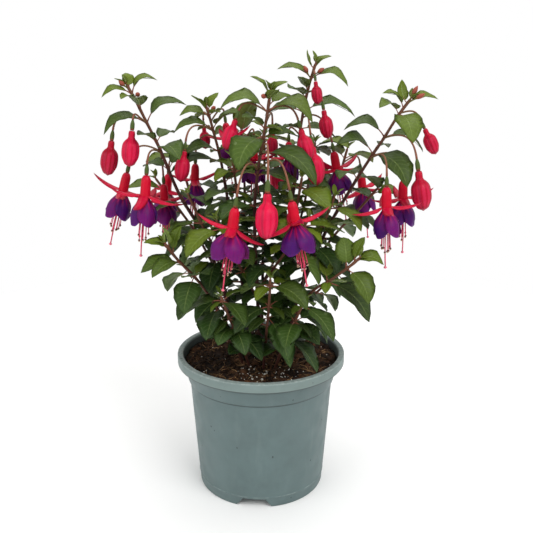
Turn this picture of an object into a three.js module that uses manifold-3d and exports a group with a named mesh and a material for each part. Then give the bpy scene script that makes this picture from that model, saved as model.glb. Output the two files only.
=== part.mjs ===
import * as THREE from 'three';
import { mergeVertices } from 'three/addons/utils/BufferGeometryUtils.js';
import Module from 'manifold-3d';

const wasm = await Module();
wasm.setup();

// A fuchsia in a plain nursery pot. Millimetres, +Z up, -Y towards the viewer.
// The origin is on the pot's axis, on the surface that its foot ring stands on.

// Pot
const potHeight = 125;
const rimRadius = 75;
const footRadius = 57;
const wall = 1.5;
const innerFootRadius = 55.9;
const potSides = 32;
const floorHeight = 8;
const floorThickness = 1.6;
const shoulderHeight = 101;
const shoulderRadius = 65.8;
const bodyTopRadius = 64.3;
const rimDepth = 8.4;
const rimLipWidth = 4.8;
const rimPlateThickness = 1.6;
const underRimRadius = 71.4;
const shoulderStep = 0.8;
const notchWidth = 31;
const notchTopWidth = 19;
const notchHeight = 7.5;
const notchDepth = 16;
const notchAngles = [-96, 24, 144];
const drainHoleRadius = 4;
const drainRingRadius = 42;
const drainHoles = 6;

// Soil
const clearance = 0.3;
const soilEdgeHeight = 111;
const soilRings = [54, 34];
const soilRoughness = 2.2;
const soilMound = 2.5;
const soilFit = 0.45;

// Shoots and leaves
const stemTipRadius = 1;
const nodeHalf = 0.9;
const stepClear = 9;
const stalkRadius = 0.6;
const bladeThickness = 1;
const foldAngle = 16;
const stalkShare = 0.15;
const stalkClear = 0.12;
const clearSections = [0.28, 0.62];
const innerSections = [0.3, 0.66];
const leafGap = 0.35;
const growingTip = 2;
// Leaves that stand clear are turned about their midribs to show their faces to the front
const clearRoll = 26;
const clearWidth = 1.18;
const pairTurn = 30;
const pairForward = 0.4;
const pairDroop = 0.75;
const pairDroopPerHeight = 0.0025;
const pairStartHeight = 150;

// Flowers
const tubeLength = 18.5;
const tubeRings = [[0, 2.2], [0.22, 3.9], [1, 4.3]];
const sepalLength = 30;
const sepalRoot = 1.6;
const sepalRings = [[0, 3.2], [0.36, 5.2], [0.74, 3.5], [1, 0]];
const sepalDip = 3.2;
const sepalCurl = 2.5;
const sepalThickness = 1;
const corollaHeight = 24;
const corollaTopRadius = 3.9;
const corollaBulge = 0.86;
const petalShares = [0.02, 0.5, 0.98];
const petalStep = 0.11;
const petalScallop = 0.12;
const petalThickness = 0.8;
const ovaryLength = 9;
const ovaryRadius = 2.2;
const ovaryEndRadius = 1.8;
const stamensPerBloom = 5;
const stamenDrop = 9;
const stamenSpread = 5;
const filamentRadius = 0.4;
const antherRadius = 0.8;
const styleDrop = 27;
const styleRadius = 0.5;
const stigmaRadius = 1.4;
const budRings = [[0, 2.2], [8, 2.6], [12, 5.8], [18, 7.2], [25.5, 5.4], [30, 0]];
const budRibs = 0.93;
const tipBudRadius = 2.2;

const vec = (x, y, z) => new THREE.Vector3(x, y, z);
const radians = THREE.MathUtils.degToRad;
const up = vec(0, 0, 1);

// Each shoot's woody stems: the points from the soil to the tip, or for a branch the height of its
// fork on the first stem and the points after it, and the radius at the start. Leaf pairs stand
// from one height to another with a spacing between them, and have about one length.
const shoots = {
  left: [
    { radius: 2.3, pairs: [176, 262, 28, 38], path: [[-13, -5, 98], [-28, -4, 165], [-48, 0, 227],
      [-69, 0, 266], [-83, -5, 304], [-93, -8, 327], [-101, -10, 345], [-107, -10, 356]] },
    { radius: 1.3, fork: 197, pairs: [228, 268, 19, 31], path: [[-60, 18, 232], [-82, 38, 256],
      [-96, 46, 273]] },
    { radius: 1.2, fork: 185, pairs: [212, 262, 17, 34], path: [[-38, -14, 218], [-50, -22, 248], [-58, -28, 270]] },
  ],
  second: [
    { radius: 1.8, pairs: [184, 275, 30, 38], path: [[-5, 9, 98], [-14, 14, 165], [-25, 18, 230],
      [-34, 20, 289], [-41, 20, 319], [-46, 20, 338]] },
    { radius: 1.2, fork: 200, pairs: [236, 312, 25, 33], path: [[-15, 36, 248], [-16, 48, 290],
      [-18, 54, 316]] },
    { radius: 1.2, fork: 205, pairs: [232, 290, 18, 33], path: [[-20, 4, 238], [-20, -2, 266], [-23, -6, 296]] },
  ],
  centre: [
    { radius: 2.2, pairs: [156, 290, 26, 38], path: [[2, -11, 98], [-2, -16, 165], [-5, -20, 248],
      [-2, -26, 289], [5, -22, 331], [8, -20, 351]] },
    { radius: 1.2, fork: 178, pairs: [206, 248, 20, 34], path: [[-20, -34, 218], [-34, -46, 252]] },
    { radius: 1.2, fork: 186, pairs: [210, 250, 19, 34], path: [[20, -36, 224], [38, -48, 254]] },
  ],
  third: [
    { radius: 2.1, pairs: [180, 305, 30, 38], path: [[7, 8, 98], [17, 13, 165], [26, 18, 235],
      [31, 20, 293], [36, 20, 332], [41, 20, 356], [46, 20, 373]] },
    { radius: 1.2, fork: 200, pairs: [228, 300, 24, 33], path: [[38, 38, 245], [46, 56, 283],
      [50, 63, 304]] },
    { radius: 1.2, fork: 190, pairs: [220, 276, 18, 33], path: [[26, 0, 226], [30, -10, 254], [34, -16, 282]] },
  ],
  right: [
    { radius: 2.3, pairs: [176, 284, 26, 38], path: [[13, -2, 98], [30, -1, 165], [53, 0, 227],
      [76, 0, 270], [92, -3, 298], [102, -5, 314], [112, -5, 331], [122, -5, 345]] },
    { radius: 1.3, fork: 197, pairs: [224, 256, 19, 31], path: [[64, 14, 226], [88, 26, 249],
      [104, 32, 266]] },
    { radius: 1.2, fork: 182, pairs: [208, 262, 17, 34], path: [[40, -12, 214], [52, -20, 244], [60, -26, 268]] },
  ],
  low_left: [
    { radius: 1.6, pairs: [146, 182, 26, 38], path: [[-10, -13, 98], [-26, -22, 150], [-49, -32, 195],
      [-67, -40, 219], [-76, -44, 233]] },
  ],
  low_right: [
    { radius: 1.6, pairs: [146, 184, 26, 38], path: [[10, -14, 98], [22, -26, 150], [40, -42, 190],
      [57, -52, 206], [70, -60, 219], [77, -62, 226]] },
  ],
  front_left: [
    { radius: 1.3, pairs: [138, 190, 17, 33], path: [[-4, -18, 98], [-15, -36, 140], [-25, -50, 172],
      [-31, -56, 192]] },
  ],
  front: [
    { radius: 1.3, pairs: [146, 206, 19, 35], path: [[1, -21, 98], [4, -40, 145], [7, -54, 185],
      [8, -60, 208]] },
  ],
  front_right: [
    { radius: 1.3, pairs: [138, 188, 16, 33], path: [[7, -19, 98], [18, -38, 140], [28, -52, 170],
      [35, -58, 190]] },
  ],
  back_left: [
    { radius: 1.9, pairs: [170, 294, 30, 36], path: [[-9, 12, 98], [-30, 32, 160], [-52, 50, 215],
      [-68, 60, 262], [-77, 64, 298]] },
    { radius: 1.2, fork: 142, pairs: [168, 188, 18, 34], path: [[-50, 36, 168], [-72, 38, 192]] },
  ],
  back: [
    { radius: 1.9, pairs: [164, 304, 28, 36], path: [[0, 15, 98], [1, 40, 160], [2, 60, 215],
      [3, 72, 265], [3, 78, 308]] },
    { radius: 1.2, fork: 168, pairs: [196, 250, 18, 34], path: [[-14, 42, 204], [-22, 40, 232], [-26, 36, 256]] },
    { radius: 1.2, fork: 174, pairs: [202, 256, 18, 34], path: [[18, 46, 208], [26, 44, 236], [28, 38, 260]] },
  ],
  back_right: [
    { radius: 1.9, pairs: [170, 294, 30, 36], path: [[9, 12, 98], [32, 32, 160], [54, 50, 215],
      [70, 60, 262], [80, 64, 298]] },
    { radius: 1.2, fork: 142, pairs: [168, 186, 18, 34], path: [[52, 34, 168], [74, 34, 190]] },
  ],
};

// Leaves that stand clear of the bush, by shoot: stem, height of the node on it, tip, width, arch
const clearLeaves = {
  left: [
    [0, 350, [-126, -20, 351], 9, 6], [0, 350, [-83, -5, 360], 9, 8], [0, 354, [-109, -4, 366], 9, 2],
    [0, 346, [-108, -32, 346], 9, 3], [0, 337, [-95, -36, 347], 13, 4], [0, 327, [-61, 5, 340], 14, 10],
    [0, 327, [-125, -24, 318], 13, 10], [0, 311, [-95, -40, 319], 11, 4], [0, 311, [-75, 24, 316], 12, 5],
    [0, 305, [-64, -32, 299], 18, 7], [0, 288, [-99, 18, 288], 11, 5], [0, 288, [-62, 30, 298], 13, 6],
    [1, 263, [-118, 22, 268], 13, 5],
  ],
  second: [
    [0, 331, [-69, 15, 331], 12, 5], [0, 335, [-58, 8, 348], 8, 2], [0, 335, [-36, 26, 350], 10, 2],
    [0, 320, [-18, 6, 334], 18, 5], [0, 320, [-74, 14, 317], 12, 8], [0, 301, [-64, 4, 300], 14, 6],
    [0, 292, [-74, -2, 284], 13, 8],
  ],
  centre: [
    [0, 348, [-8, -24, 363], 8, 4], [0, 348, [22, -22, 359], 10, 3], [0, 344, [9, -36, 360], 10, 2],
    [0, 336, [-32, -24, 338], 16, 11], [0, 341, [27, -8, 347], 11, 4], [0, 336, [41, -36, 328], 18, 12],
    [0, 316, [-17, -50, 293], 24, 8], [0, 323, [-14, -42, 333], 13, 4], [0, 303, [47, -44, 281], 19, 12],
    [0, 316, [31, -4, 315], 16, 5],
  ],
  third: [
    [0, 370, [39, 18, 385], 8, -2], [0, 370, [58, 22, 382], 9, 3], [0, 362, [14, 15, 369], 10, 6],
    [0, 362, [73, 11, 355], 12, 9], [0, 346, [23, -8, 354], 15, 3], [0, 352, [32, 0, 363], 10, 2],
    [0, 334, [82, 12, 334], 14, 11], [0, 320, [72, 28, 314], 13, 5], [0, 334, [3, 36, 330], 15, 6],
  ],
  right: [
    [0, 342, [116, 3, 361], 9, -3], [0, 342, [146, -6, 345], 10, 5], [0, 338, [98, -12, 350], 10, 6],
    [0, 333, [94, -24, 339], 13, 7], [0, 333, [119, -40, 313], 20, 7], [0, 315, [69, 0, 320], 14, 10],
    [0, 315, [138, 8, 301], 13, 9], [0, 301, [62, -12, 309], 16, 9], [0, 306, [112, 28, 303], 10, 4],
    [0, 301, [113, -36, 277], 24, 9], [1, 262, [124, 22, 262], 13, 4],
  ],
  low_left: [
    [0, 217, [-96, -50, 211], 16, 5], [0, 217, [-84, -68, 212], 14, 5], [0, 225, [-64, -34, 247], 11, 3],
    [0, 203, [-40, -62, 213], 18, 3], [0, 230, [-78, -46, 248], 10, 2], [0, 203, [-61, -64, 181], 20, 4],
    [0, 230, [-92, -46, 238], 10, 3],
  ],
  low_right: [
    [0, 223, [96, -66, 222], 13, 6], [0, 217, [84, -76, 193], 18, 6], [0, 204, [87, -64, 174], 23, 7],
    [0, 217, [66, -48, 240], 17, 4], [0, 223, [82, -56, 242], 10, 2],
  ],
  front_left: [[0, 163, [-34, -66, 155], 17, 5], [0, 163, [-12, -70, 148], 16, 4]],
  front: [[0, 173, [22, -74, 145], 18, 5]],
  front_right: [[0, 162, [48, -62, 154], 17, 5]],
};

// Blooms: shoot, stem, height of the stalk, end of the stalk, lean of the bloom, size,
// angle of the first sepal, lifts of the four sepals and radius of the corolla's hem
const blooms = {
  a: ['left', 0, 303, [-112, 8, 292], [-0.28, 0], 0.95, 185, [14, -8, 0, -6], 9.5],
  b: ['left', 0, 302, [-91, -26, 295], [-0.1, -0.05], 0.97, 172, [0, -24, -14, 4], 10],
  c: ['left', 0, 301, [-85, 18, 280], [0, 0.05], 0.83, 232, [6, -6, -4, 8], 9],
  d: ['second', 0, 312, [-58, 34, 296], [-0.06, 0.04], 0.86, 12, [22, 0, 10, -4], 9],
  e: ['centre', 0, 290, [-17, -76, 277], [-0.15, -0.05], 0.93, 176, [20, -8, -24, 6], 14],
  f: ['centre', 0, 291, [22, -76, 282], [0.18, -0.05], 0.95, 8, [18, 4, -18, 10], 12],
  g: ['third', 1, 296, [25, 45, 314], [0, 0], 0.8, 30, [12, 8, 0, 10], 9],
  h: ['third', 0, 329, [62, 24, 308], [0.2, 0], 0.9, 35, [12, 20, 4, -2], 10.5],
  i: ['right', 0, 297, [100, -38, 287], [0.03, -0.05], 0.95, 178, [-16, -10, 2, 10], 10],
  j: ['right', 0, 299, [120, -3, 287], [0.04, 0.05], 0.92, 6, [12, 8, -4, -8], 10],
  k: ['second', 0, 326, [-32, 40, 331], [0.1, 0.1], 0.8, 200, [14, 4, 16, 10], 9],
  l: ['second', 1, 304, [-6, 29, 314], [0, -0.15], 0.82, 60, [20, 30, 16, 10], 9],
  m: ['back_left', 0, 284, [-88, 76, 282], [-0.12, 0.06], 0.95, 140, [8, -10, 4, -16], 11],
  n: ['back_right', 0, 286, [94, 76, 284], [0.14, 0.05], 0.95, 35, [14, -6, -12, 2], 10],
};

// Buds: shoot, stem, height of the stalk, end of the stalk, lean of the bud, size
const buds = {
  1: ['left', 0, 328, [-120, -12, 321], [-0.18, 0], 0.95],
  2: ['left', 0, 327, [-101, -24, 330], [-0.12, -0.05], 0.95],
  3: ['second', 0, 318, [-62, -4, 311], [-0.15, -0.1], 0.85],
  4: ['centre', 0, 336, [-17, -24, 337], [-0.35, -0.05], 0.82],
  5: ['second', 0, 328, [-51, 41, 326], [0.05, 0.1], 0.65],
  6: ['centre', 0, 303, [6, -85, 291], [-0.03, -0.05], 1.12],
  7: ['centre', 0, 337, [30, -24, 330], [0.3, -0.1], 0.85],
  8: ['third', 0, 331, [41, -12, 317], [0.15, -0.05], 1.05],
  9: ['centre', 0, 327, [10, 8, 324], [0, 0.05], 0.65],
  10: ['third', 0, 364, [45, 10, 365], [0.12, -0.05], 0.62],
  11: ['third', 0, 350, [52, 14, 343], [0.18, 0], 0.8],
  12: ['right', 0, 334, [131, -10, 328], [0.5, -0.05], 0.75],
  13: ['right', 0, 314, [126, -24, 299], [0.18, -0.05], 1.08],
  14: ['back', 0, 296, [14, 96, 292], [0.06, 0.05], 1],
  15: ['back', 0, 299, [-12, 92, 300], [-0.12, 0.04], 0.85],
};

// Smallest buds, fused to their shoots: stem, height, tip
const tipBuds = {
  left: [[0, 352, [-113, -13, 360]], [0, 347, [-96, -18, 350]]],
  centre: [[0, 346, [1, -31, 349]]],
  third: [[0, 361, [36, 14, 372]], [0, 363, [53, 13, 370]]],
  right: [[0, 342, [127, -8, 356]], [0, 342, [132, -14, 350]]],
  second: [[0, 333, [-38, 12, 339]]],
};

// A repeatable number from 0 to 1 for a pair of whole numbers
function chance(first, second) {
  let state = (first * 7919 + second * 104729 + 12345) >>> 0;
  for (let turn = 0; turn < 3; turn += 1) {
    state = (Math.imul(state, 1664525) + 1013904223) >>> 0;
    state = (state ^ (state >>> 15)) >>> 0;
  }
  return state / 4294967296;
}

// A closed solid from its points and triangles, turned so that its faces point out
function solidFrom(points, triangles) {
  let volume = 0;
  const cross = vec(0, 0, 0);
  for (const [a, b, c] of triangles) {
    volume += cross.crossVectors(points[b], points[c]).dot(points[a]);
  }
  const order = volume < 0 ? triangles.map(([a, b, c]) => [a, c, b]) : triangles;
  const vertProperties = new Float32Array(points.flatMap((point) => point.toArray()));
  return new wasm.Manifold(new wasm.Mesh({
    numProp: 3, vertProperties, triVerts: new Uint32Array(order.flat()),
  }));
}

function solidFromGeometry(geometry) {
  geometry.deleteAttribute('normal');
  geometry.deleteAttribute('uv');
  const merged = mergeVertices(geometry);
  return new wasm.Manifold(new wasm.Mesh({
    numProp: 3,
    vertProperties: new Float32Array(merged.attributes.position.array),
    triVerts: new Uint32Array(merged.index.array),
  }));
}

function geometryFrom(solid) {
  const mesh = solid.getMesh();
  const geometry = new THREE.BufferGeometry();
  geometry.setAttribute('position', new THREE.BufferAttribute(new Float32Array(mesh.vertProperties), 3));
  geometry.setIndex(new THREE.BufferAttribute(new Uint32Array(mesh.triVerts), 1));
  return geometry;
}

// Triangles between one ring of points and the next, or from a ring to a single point. On a thin
// blade the second half of each ring lies under the first, and its quads are cut the other way, so
// that both sides of the blade bend along the same lines.
function joinRings(triangles, ring, next, thin = false) {
  ring.forEach((corner, index) => {
    const beside = ring[(index + 1) % ring.length];
    const opposite = next[(index + 1) % next.length];
    if (next.length === 1) {
      triangles.push([corner, beside, next[0]]);
    } else if (thin && index >= ring.length / 2) {
      triangles.push([corner, beside, next[index]], [beside, opposite, next[index]]);
    } else {
      triangles.push([corner, beside, opposite], [corner, opposite, next[index]]);
    }
  });
}

// Triangles over a ring's opening
function capRing(triangles, ring, turned) {
  for (let index = 1; index + 1 < ring.length; index += 1) {
    triangles.push(turned ? [ring[0], ring[index + 1], ring[index]] : [ring[0], ring[index], ring[index + 1]]);
  }
}

// A root ring of four points, turned so that its points lie nearest those of the ring after it
function turnedRing(points, ring, next) {
  const turns = ring.map((unused, turn) => [...ring.slice(turn), ...ring.slice(0, turn)]);
  const reach = (turned) => turned.reduce((sum, corner, index) => (
    sum + points[corner].distanceToSquared(points[next[index]])), 0);
  return turns.reduce((best, other) => (reach(other) < reach(best) ? other : best));
}

// Adds rings of points to a growing list and returns the numbers of each ring's points
function addRings(points, rings) {
  return rings.map((ring) => ring.map((point) => points.push(point) - 1));
}

// Rings of equal count joined into a closed skin
function skin(rings) {
  const points = [];
  const triangles = [];
  const numbers = addRings(points, rings);
  numbers.slice(1).forEach((next, index) => joinRings(triangles, numbers[index], next));
  capRing(triangles, numbers[0], true);
  capRing(triangles, numbers.at(-1), false);
  return solidFrom(points, triangles);
}

// A skin with an outside and an inside, each a list of rings, joined along both rims
function openSkin(outside, inside) {
  const points = [];
  const triangles = [];
  const numbers = addRings(points, [...outside, ...[...inside].reverse()]);
  numbers.forEach((ring, index) => joinRings(triangles, ring, numbers[(index + 1) % numbers.length]));
  return solidFrom(points, triangles);
}

// Rings round a line of points, with a radius at each of them; a radius of 0 gives the point
function ringsAlong(line, radii, sides) {
  let across = vec(1, 0, 0);
  return line.map((point, index) => {
    const before = line[Math.max(index - 1, 0)];
    const after = line[Math.min(index + 1, line.length - 1)];
    const along = after.clone().sub(before).normalize();
    if (Math.abs(across.dot(along)) > 0.95) {
      across = vec(0, 1, 0);
    }
    across = across.clone().addScaledVector(along, -across.dot(along)).normalize();
    const beside = vec(0, 0, 0).crossVectors(along, across);
    if (radii[index] === 0) {
      return [point.clone()];
    }
    return Array.from({ length: sides }, (unused, side) => {
      const angle = (2 * Math.PI * side) / sides;
      return point.clone()
        .addScaledVector(across, radii[index] * Math.cos(angle))
        .addScaledVector(beside, radii[index] * Math.sin(angle));
    });
  });
}

const rod = (line, radii, sides) => skin(ringsAlong(line, radii, sides));

// The line of a woody stem: a smooth curve through its points, two steps to each.
// A branch starts on the first stem's line.
function stemLine(stem, trunk) {
  const through = stem.path.map((point) => vec(...point));
  if (trunk) {
    through.unshift(stemPoint(trunk, stem.fork).point);
  }
  const curve = new THREE.CatmullRomCurve3(through, false, 'catmullrom', 0.5);
  return curve.getPoints(2 * (through.length - 1));
}

// The point of a stem's line at a height, and the stem's direction there
function stemPoint(line, height) {
  let index = 1;
  while (index < line.length - 1 && line[index].z < height) {
    index += 1;
  }
  const below = line[index - 1];
  const above = line[index];
  const share = THREE.MathUtils.clamp((height - below.z) / (above.z - below.z), 0, 1);
  return { point: below.clone().lerp(above, share), along: above.clone().sub(below).normalize() };
}

function stemRadius(stem, line, height) {
  const share = (height - line[0].z) / (line.at(-1).z - line[0].z);
  return stem.radius + (stemTipRadius - stem.radius) * share;
}

// The four-sided rings of a stem: one at each step of its line, and a pair at each node, which
// makes a band of four faces that leaves can grow from. The tip ends in a point.
function stemBody(stem, line, nodes) {
  const low = line[0].z;
  const high = line.at(-1).z;
  const steps = line.map((point) => point.z)
    .filter((height) => nodes.every((node) => Math.abs(height - node) > stepClear) || height === low);
  const stations = [
    ...steps.map((height) => ({ height, node: null })),
    ...nodes.flatMap((node) => [{ height: node - nodeHalf, node }, { height: node + nodeHalf, node: null }]),
  ].filter(({ height }) => height <= high).sort((a, b) => a.height - b.height);
  const spine = stations.map(({ height }) => stemPoint(line, height).point);
  const radii = stations.map(({ height }) => stemRadius(stem, line, height));
  const end = spine.at(-1).clone().addScaledVector(stemPoint(line, high).along, growingTip);
  const rings = ringsAlong([...spine, end], [...radii, 0], 4);
  return { rings, nodes: stations.map(({ node }) => node), spine, radii };
}

// The hole that a stem stands in: its own lower length, a little wider and deeper
function stemHole({ spine, radii }) {
  const count = spine.findIndex((point) => point.z > soilEdgeHeight + 2 * soilMound) + 1;
  const deeper = spine[0].clone().add(spine[0].clone().sub(spine[1]).normalize());
  const wider = radii.slice(0, count).map((radius) => radius + soilFit);
  return rod([deeper, ...spine.slice(1, count)], wider, 4);
}

// The four faces of the band at a node, each with its corners, middle and outward direction
function bandFaces(body, node) {
  const index = body.nodes.indexOf(node);
  const [ring, next] = [body.rings[index], body.rings[index + 1]];
  const centre = [...ring, ...next].reduce((sum, point) => sum.add(point), vec(0, 0, 0)).divideScalar(8);
  return [0, 1, 2, 3].map((side) => {
    const beside = (side + 1) % 4;
    const corners = [ring[side], ring[beside], next[beside], next[side]];
    const middle = corners.reduce((sum, point) => sum.add(point), vec(0, 0, 0)).divideScalar(4);
    return { index, side, corners, middle, outward: middle.clone().sub(centre).normalize() };
  });
}

// Half of the blade's width, as a share of its widest, from its base (0) to its tip (1)
function bladeShape(share) {
  return 3.33 * share ** 0.7 * (1 - share) ** 1.1;
}

// The rings of a leaf: a stalk end and sections of a blade that is folded along its midrib and
// arched from stalk to tip, each with its left, top, right and under point
function leafRings(leaf) {
  const chord = leaf.tip.clone().sub(leaf.base);
  const along = chord.clone().normalize();
  const lift = up.clone().addScaledVector(along, -along.z).normalize();
  const side = vec(0, 0, 0).crossVectors(along, lift).applyAxisAngle(along, radians(leaf.roll));
  const place = (share) => leaf.base.clone().addScaledVector(chord, share)
    .addScaledVector(lift, leaf.arch * 4 * share * (1 - share));
  const normal = (share) => {
    const tangent = chord.clone().addScaledVector(lift, leaf.arch * 4 * (1 - 2 * share));
    return vec(0, 0, 0).crossVectors(side, tangent).normalize();
  };
  const fold = radians(foldAngle);
  const section = (blade) => {
    const share = stalkShare + (1 - stalkShare) * blade;
    const half = 0.5 * leaf.width * bladeShape(blade);
    const face = normal(share);
    const middle = place(share);
    const [left, right] = [-1, 1].map((hand) => middle.clone()
      .addScaledVector(side, hand * half * Math.cos(fold))
      .addScaledVector(face, half * Math.sin(fold)));
    return [left, middle, right, middle.clone().addScaledVector(face, -bladeThickness)];
  };
  const collar = () => {
    const middle = place(stalkShare);
    const face = normal(stalkShare);
    return [[-1, 0], [0, 0.5], [1, 0], [0, -1.4]].map(([across, rise]) => middle.clone()
      .addScaledVector(side, across * stalkRadius).addScaledVector(face, rise * stalkRadius));
  };
  const stations = leaf.clear ? clearSections : innerSections;
  return [...(leaf.clear ? [collar()] : []), ...stations.map(section), [leaf.tip.clone()]];
}

// Adds a leaf to a growing skin, from the ring of its root to its tip
function addLeaf(points, triangles, root, leaf) {
  const numbers = addRings(points, leafRings(leaf));
  let ring = turnedRing(points, root, numbers[0]);
  for (const next of numbers) {
    joinRings(triangles, ring, next, true);
    ring = next;
  }
}

// A leaf by itself, from a root of four points, to find room for it
function looseLeaf(leaf, root) {
  const points = [];
  const triangles = [];
  const [ring] = addRings(points, [root]);
  addLeaf(points, triangles, ring, leaf);
  capRing(triangles, ring, true);
  return solidFrom(points, triangles);
}

// A small ring on a leaf's stalk, clear of the stem
function stalkRing(leaf) {
  const chord = leaf.tip.clone().sub(leaf.base);
  const lift = up.clone().addScaledVector(chord, -chord.z / chord.lengthSq()).normalize();
  const point = leaf.base.clone().addScaledVector(chord, stalkClear)
    .addScaledVector(lift, leaf.arch * 4 * stalkClear * (1 - stalkClear));
  return ringsAlong([point, point.clone().add(chord)], [0.5, 0.5], 4)[0];
}

// The ways a leaf may be swung aside, round the vertical and up or down, in degrees,
// until it clears its neighbours
const swings = [[0, 0], [9, 0], [-9, 0], [0, -10], [0, 10], [18, -6], [-18, -6], [14, 12], [-14, 12],
  [28, 0], [-28, 0], [10, -22], [-10, -22], [40, -10], [-40, -10], [24, 24], [-24, 24], [0, -36], [0, 34]];

function swungLeaf(leaf, [turn, tilt]) {
  const chord = leaf.tip.clone().sub(leaf.base);
  const flat = Math.hypot(chord.x, chord.y);
  const heading = Math.atan2(chord.y, chord.x) + radians(turn);
  const limit = radians(84);
  const rise = THREE.MathUtils.clamp(Math.atan2(chord.z, flat) + radians(tilt), -limit, limit);
  const reach = chord.length();
  const tip = leaf.base.clone().add(vec(
    reach * Math.cos(rise) * Math.cos(heading),
    reach * Math.cos(rise) * Math.sin(heading),
    reach * Math.sin(rise),
  ));
  return { ...leaf, tip };
}

// The heights of a stem's leaf pairs
function pairHeights([low, high, spacing]) {
  return Array.from({ length: Math.floor((high - low) / spacing) + 1 }, (unused, pair) => low + pair * spacing);
}

// A leaf of a pair: it leaves its face outwards and forwards, and hangs more the lower it is
function pairLeaf(face, along, height, length, seed) {
  const draw = (salt) => chance(seed, salt);
  const droop = pairDroop - pairDroopPerHeight * (height - pairStartHeight) + 0.3 * (draw(2) - 0.5);
  const heading = face.outward.clone().applyAxisAngle(along, radians(pairTurn * (draw(1) - 0.5)))
    .addScaledVector(along, pairForward)
    .addScaledVector(up, -droop)
    .normalize();
  const size = length * (0.92 + 0.28 * draw(3));
  return {
    face,
    base: face.middle,
    tip: face.middle.clone().addScaledVector(heading, size),
    width: size * (0.56 + 0.1 * draw(4)),
    arch: size * (0.09 + 0.1 * draw(5)),
    roll: 30 * (draw(6) - 0.5),
    clear: false,
  };
}

// A flower stalk that leaves its stem outwards and upwards and ends along the flower's own
// axis, and the ovary at its end
function flowerStalk(line, height, end, axis, size) {
  const { point, along } = stemPoint(line, height);
  const away = end.clone().sub(point);
  const start = away.clone().addScaledVector(up, -away.z).multiplyScalar(0.45)
    .addScaledVector(along, 0.25 * away.length())
    .add(point);
  const before = end.clone().addScaledVector(axis, -0.5 * away.length());
  const stalk = new THREE.CubicBezierCurve3(point, start, before, end).getPoints(3);
  const ovary = [0.5, 1].map((share) => end.clone().addScaledVector(axis, ovaryLength * size * share));
  const radii = [...stalk.map(() => stalkRadius), ovaryRadius * size, ovaryEndRadius * size];
  return rod([...stalk, ...ovary], radii, 4);
}

const flowerAxis = (lean) => vec(lean[0], lean[1], -1).normalize();

// Turns a solid made hanging down from the origin into a flower's own place
function hang(solid, end, axis, size, spin) {
  const turn = new THREE.Quaternion().setFromUnitVectors(vec(0, 0, -1), axis);
  const place = end.clone().addScaledVector(axis, ovaryLength * size + clearance);
  const matrix = new THREE.Matrix4().compose(place, turn, vec(size, size, size))
    .multiply(new THREE.Matrix4().makeRotationZ(radians(spin)));
  return solid.transform(matrix.elements);
}

// One sepal: a tapering strip that leaves the tube's mouth, dips a little and curls up at its tip
function sepalSolid(quarter, lift) {
  const angle = radians(90 * quarter);
  const outward = vec(Math.cos(angle), Math.sin(angle), 0);
  const side = vec(-Math.sin(angle), Math.cos(angle), 0);
  const thick = 0.5 * sepalThickness;
  const rings = sepalRings.map(([share, half]) => {
    const along = (sepalLength - sepalRoot) * share;
    const bend = sepalCurl * share ** 3 - sepalDip * share * (1 - share);
    const middle = outward.clone().multiplyScalar(sepalRoot + along * Math.cos(radians(lift)))
      .addScaledVector(up, sepalRoot - tubeLength + along * Math.sin(radians(lift)) + bend);
    if (half === 0) {
      return [middle];
    }
    return [[-half, thick], [half, thick], [half, -thick], [-half, -thick]].map(([across, rise]) => middle.clone()
      .addScaledVector(side, across).addScaledVector(up, rise));
  });
  return skin(rings);
}

// The red part of a bloom: tube, four sepals, stamens and style, hanging from the origin
function calyxSolid(lifts) {
  const tube = rod(
    tubeRings.map(([share]) => vec(0, 0, -tubeLength * share)),
    tubeRings.map(([, radius]) => radius),
    6,
  );
  const sepals = lifts.map((lift, quarter) => sepalSolid(quarter, lift));
  const hem = tubeLength + corollaHeight;
  const stamens = Array.from({ length: stamensPerBloom }, (unused, index) => {
    const angle = (2 * Math.PI * (index + 0.5)) / stamensPerBloom;
    const outward = vec(Math.cos(angle), Math.sin(angle), 0);
    const drop = hem + stamenDrop + stamenSpread * ((index * 3) % 4) / 3;
    const line = [[1.5, tubeLength - 0.8], [4.6, drop - 2.4], [5, drop]].map(([reach, depth]) => outward.clone()
      .multiplyScalar(reach).addScaledVector(up, -depth));
    return rod(line, [filamentRadius, filamentRadius, antherRadius], 3);
  });
  const style = rod(
    [tubeLength - 0.8, hem + styleDrop - 2.4, hem + styleDrop].map((depth) => vec(0, 0, -depth)),
    [styleRadius, styleRadius, stigmaRadius],
    3,
  );
  return wasm.Manifold.union([tube, ...sepals, ...stamens, style]);
}

// The violet part: four petals in a skirt, each one's edge standing over the next one's
function corollaSolid(hemRadius) {
  const levels = [[0, corollaTopRadius], [0.45, corollaBulge * hemRadius], [1, hemRadius]];
  const ringAt = ([drop, reach], inset) => [0, 1, 2, 3].flatMap((petal) => petalShares.map((share) => {
    const angle = (Math.PI / 2) * (petal + share);
    const step = petalStep * (1 - 2 * share) * reach * Math.min(1, 3 * drop);
    const scallop = 1 - petalScallop * drop * (2 * share - 1) ** 2;
    const depth = tubeLength + 2 * clearance + corollaHeight * drop * scallop;
    const radius = reach + step - inset;
    return vec(radius * Math.cos(angle), radius * Math.sin(angle), -depth);
  }));
  const outside = levels.map((level) => ringAt(level, 0));
  const inside = [levels[0], levels[2]].map((level) => ringAt(level, petalThickness));
  return openSkin(outside, inside);
}

// A closed bud: a short neck and a body of four sepals that meet in a point
function budSolid() {
  const rings = budRings.map(([depth, reach]) => {
    if (reach === 0) {
      return [vec(0, 0, -depth)];
    }
    return Array.from({ length: 8 }, (unused, side) => {
      const angle = (Math.PI / 4) * side;
      const ribbed = reach * (side % 2 === 0 ? 1 : budRibs);
      return vec(ribbed * Math.cos(angle), ribbed * Math.sin(angle), -depth);
    });
  });
  return skin(rings);
}

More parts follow.
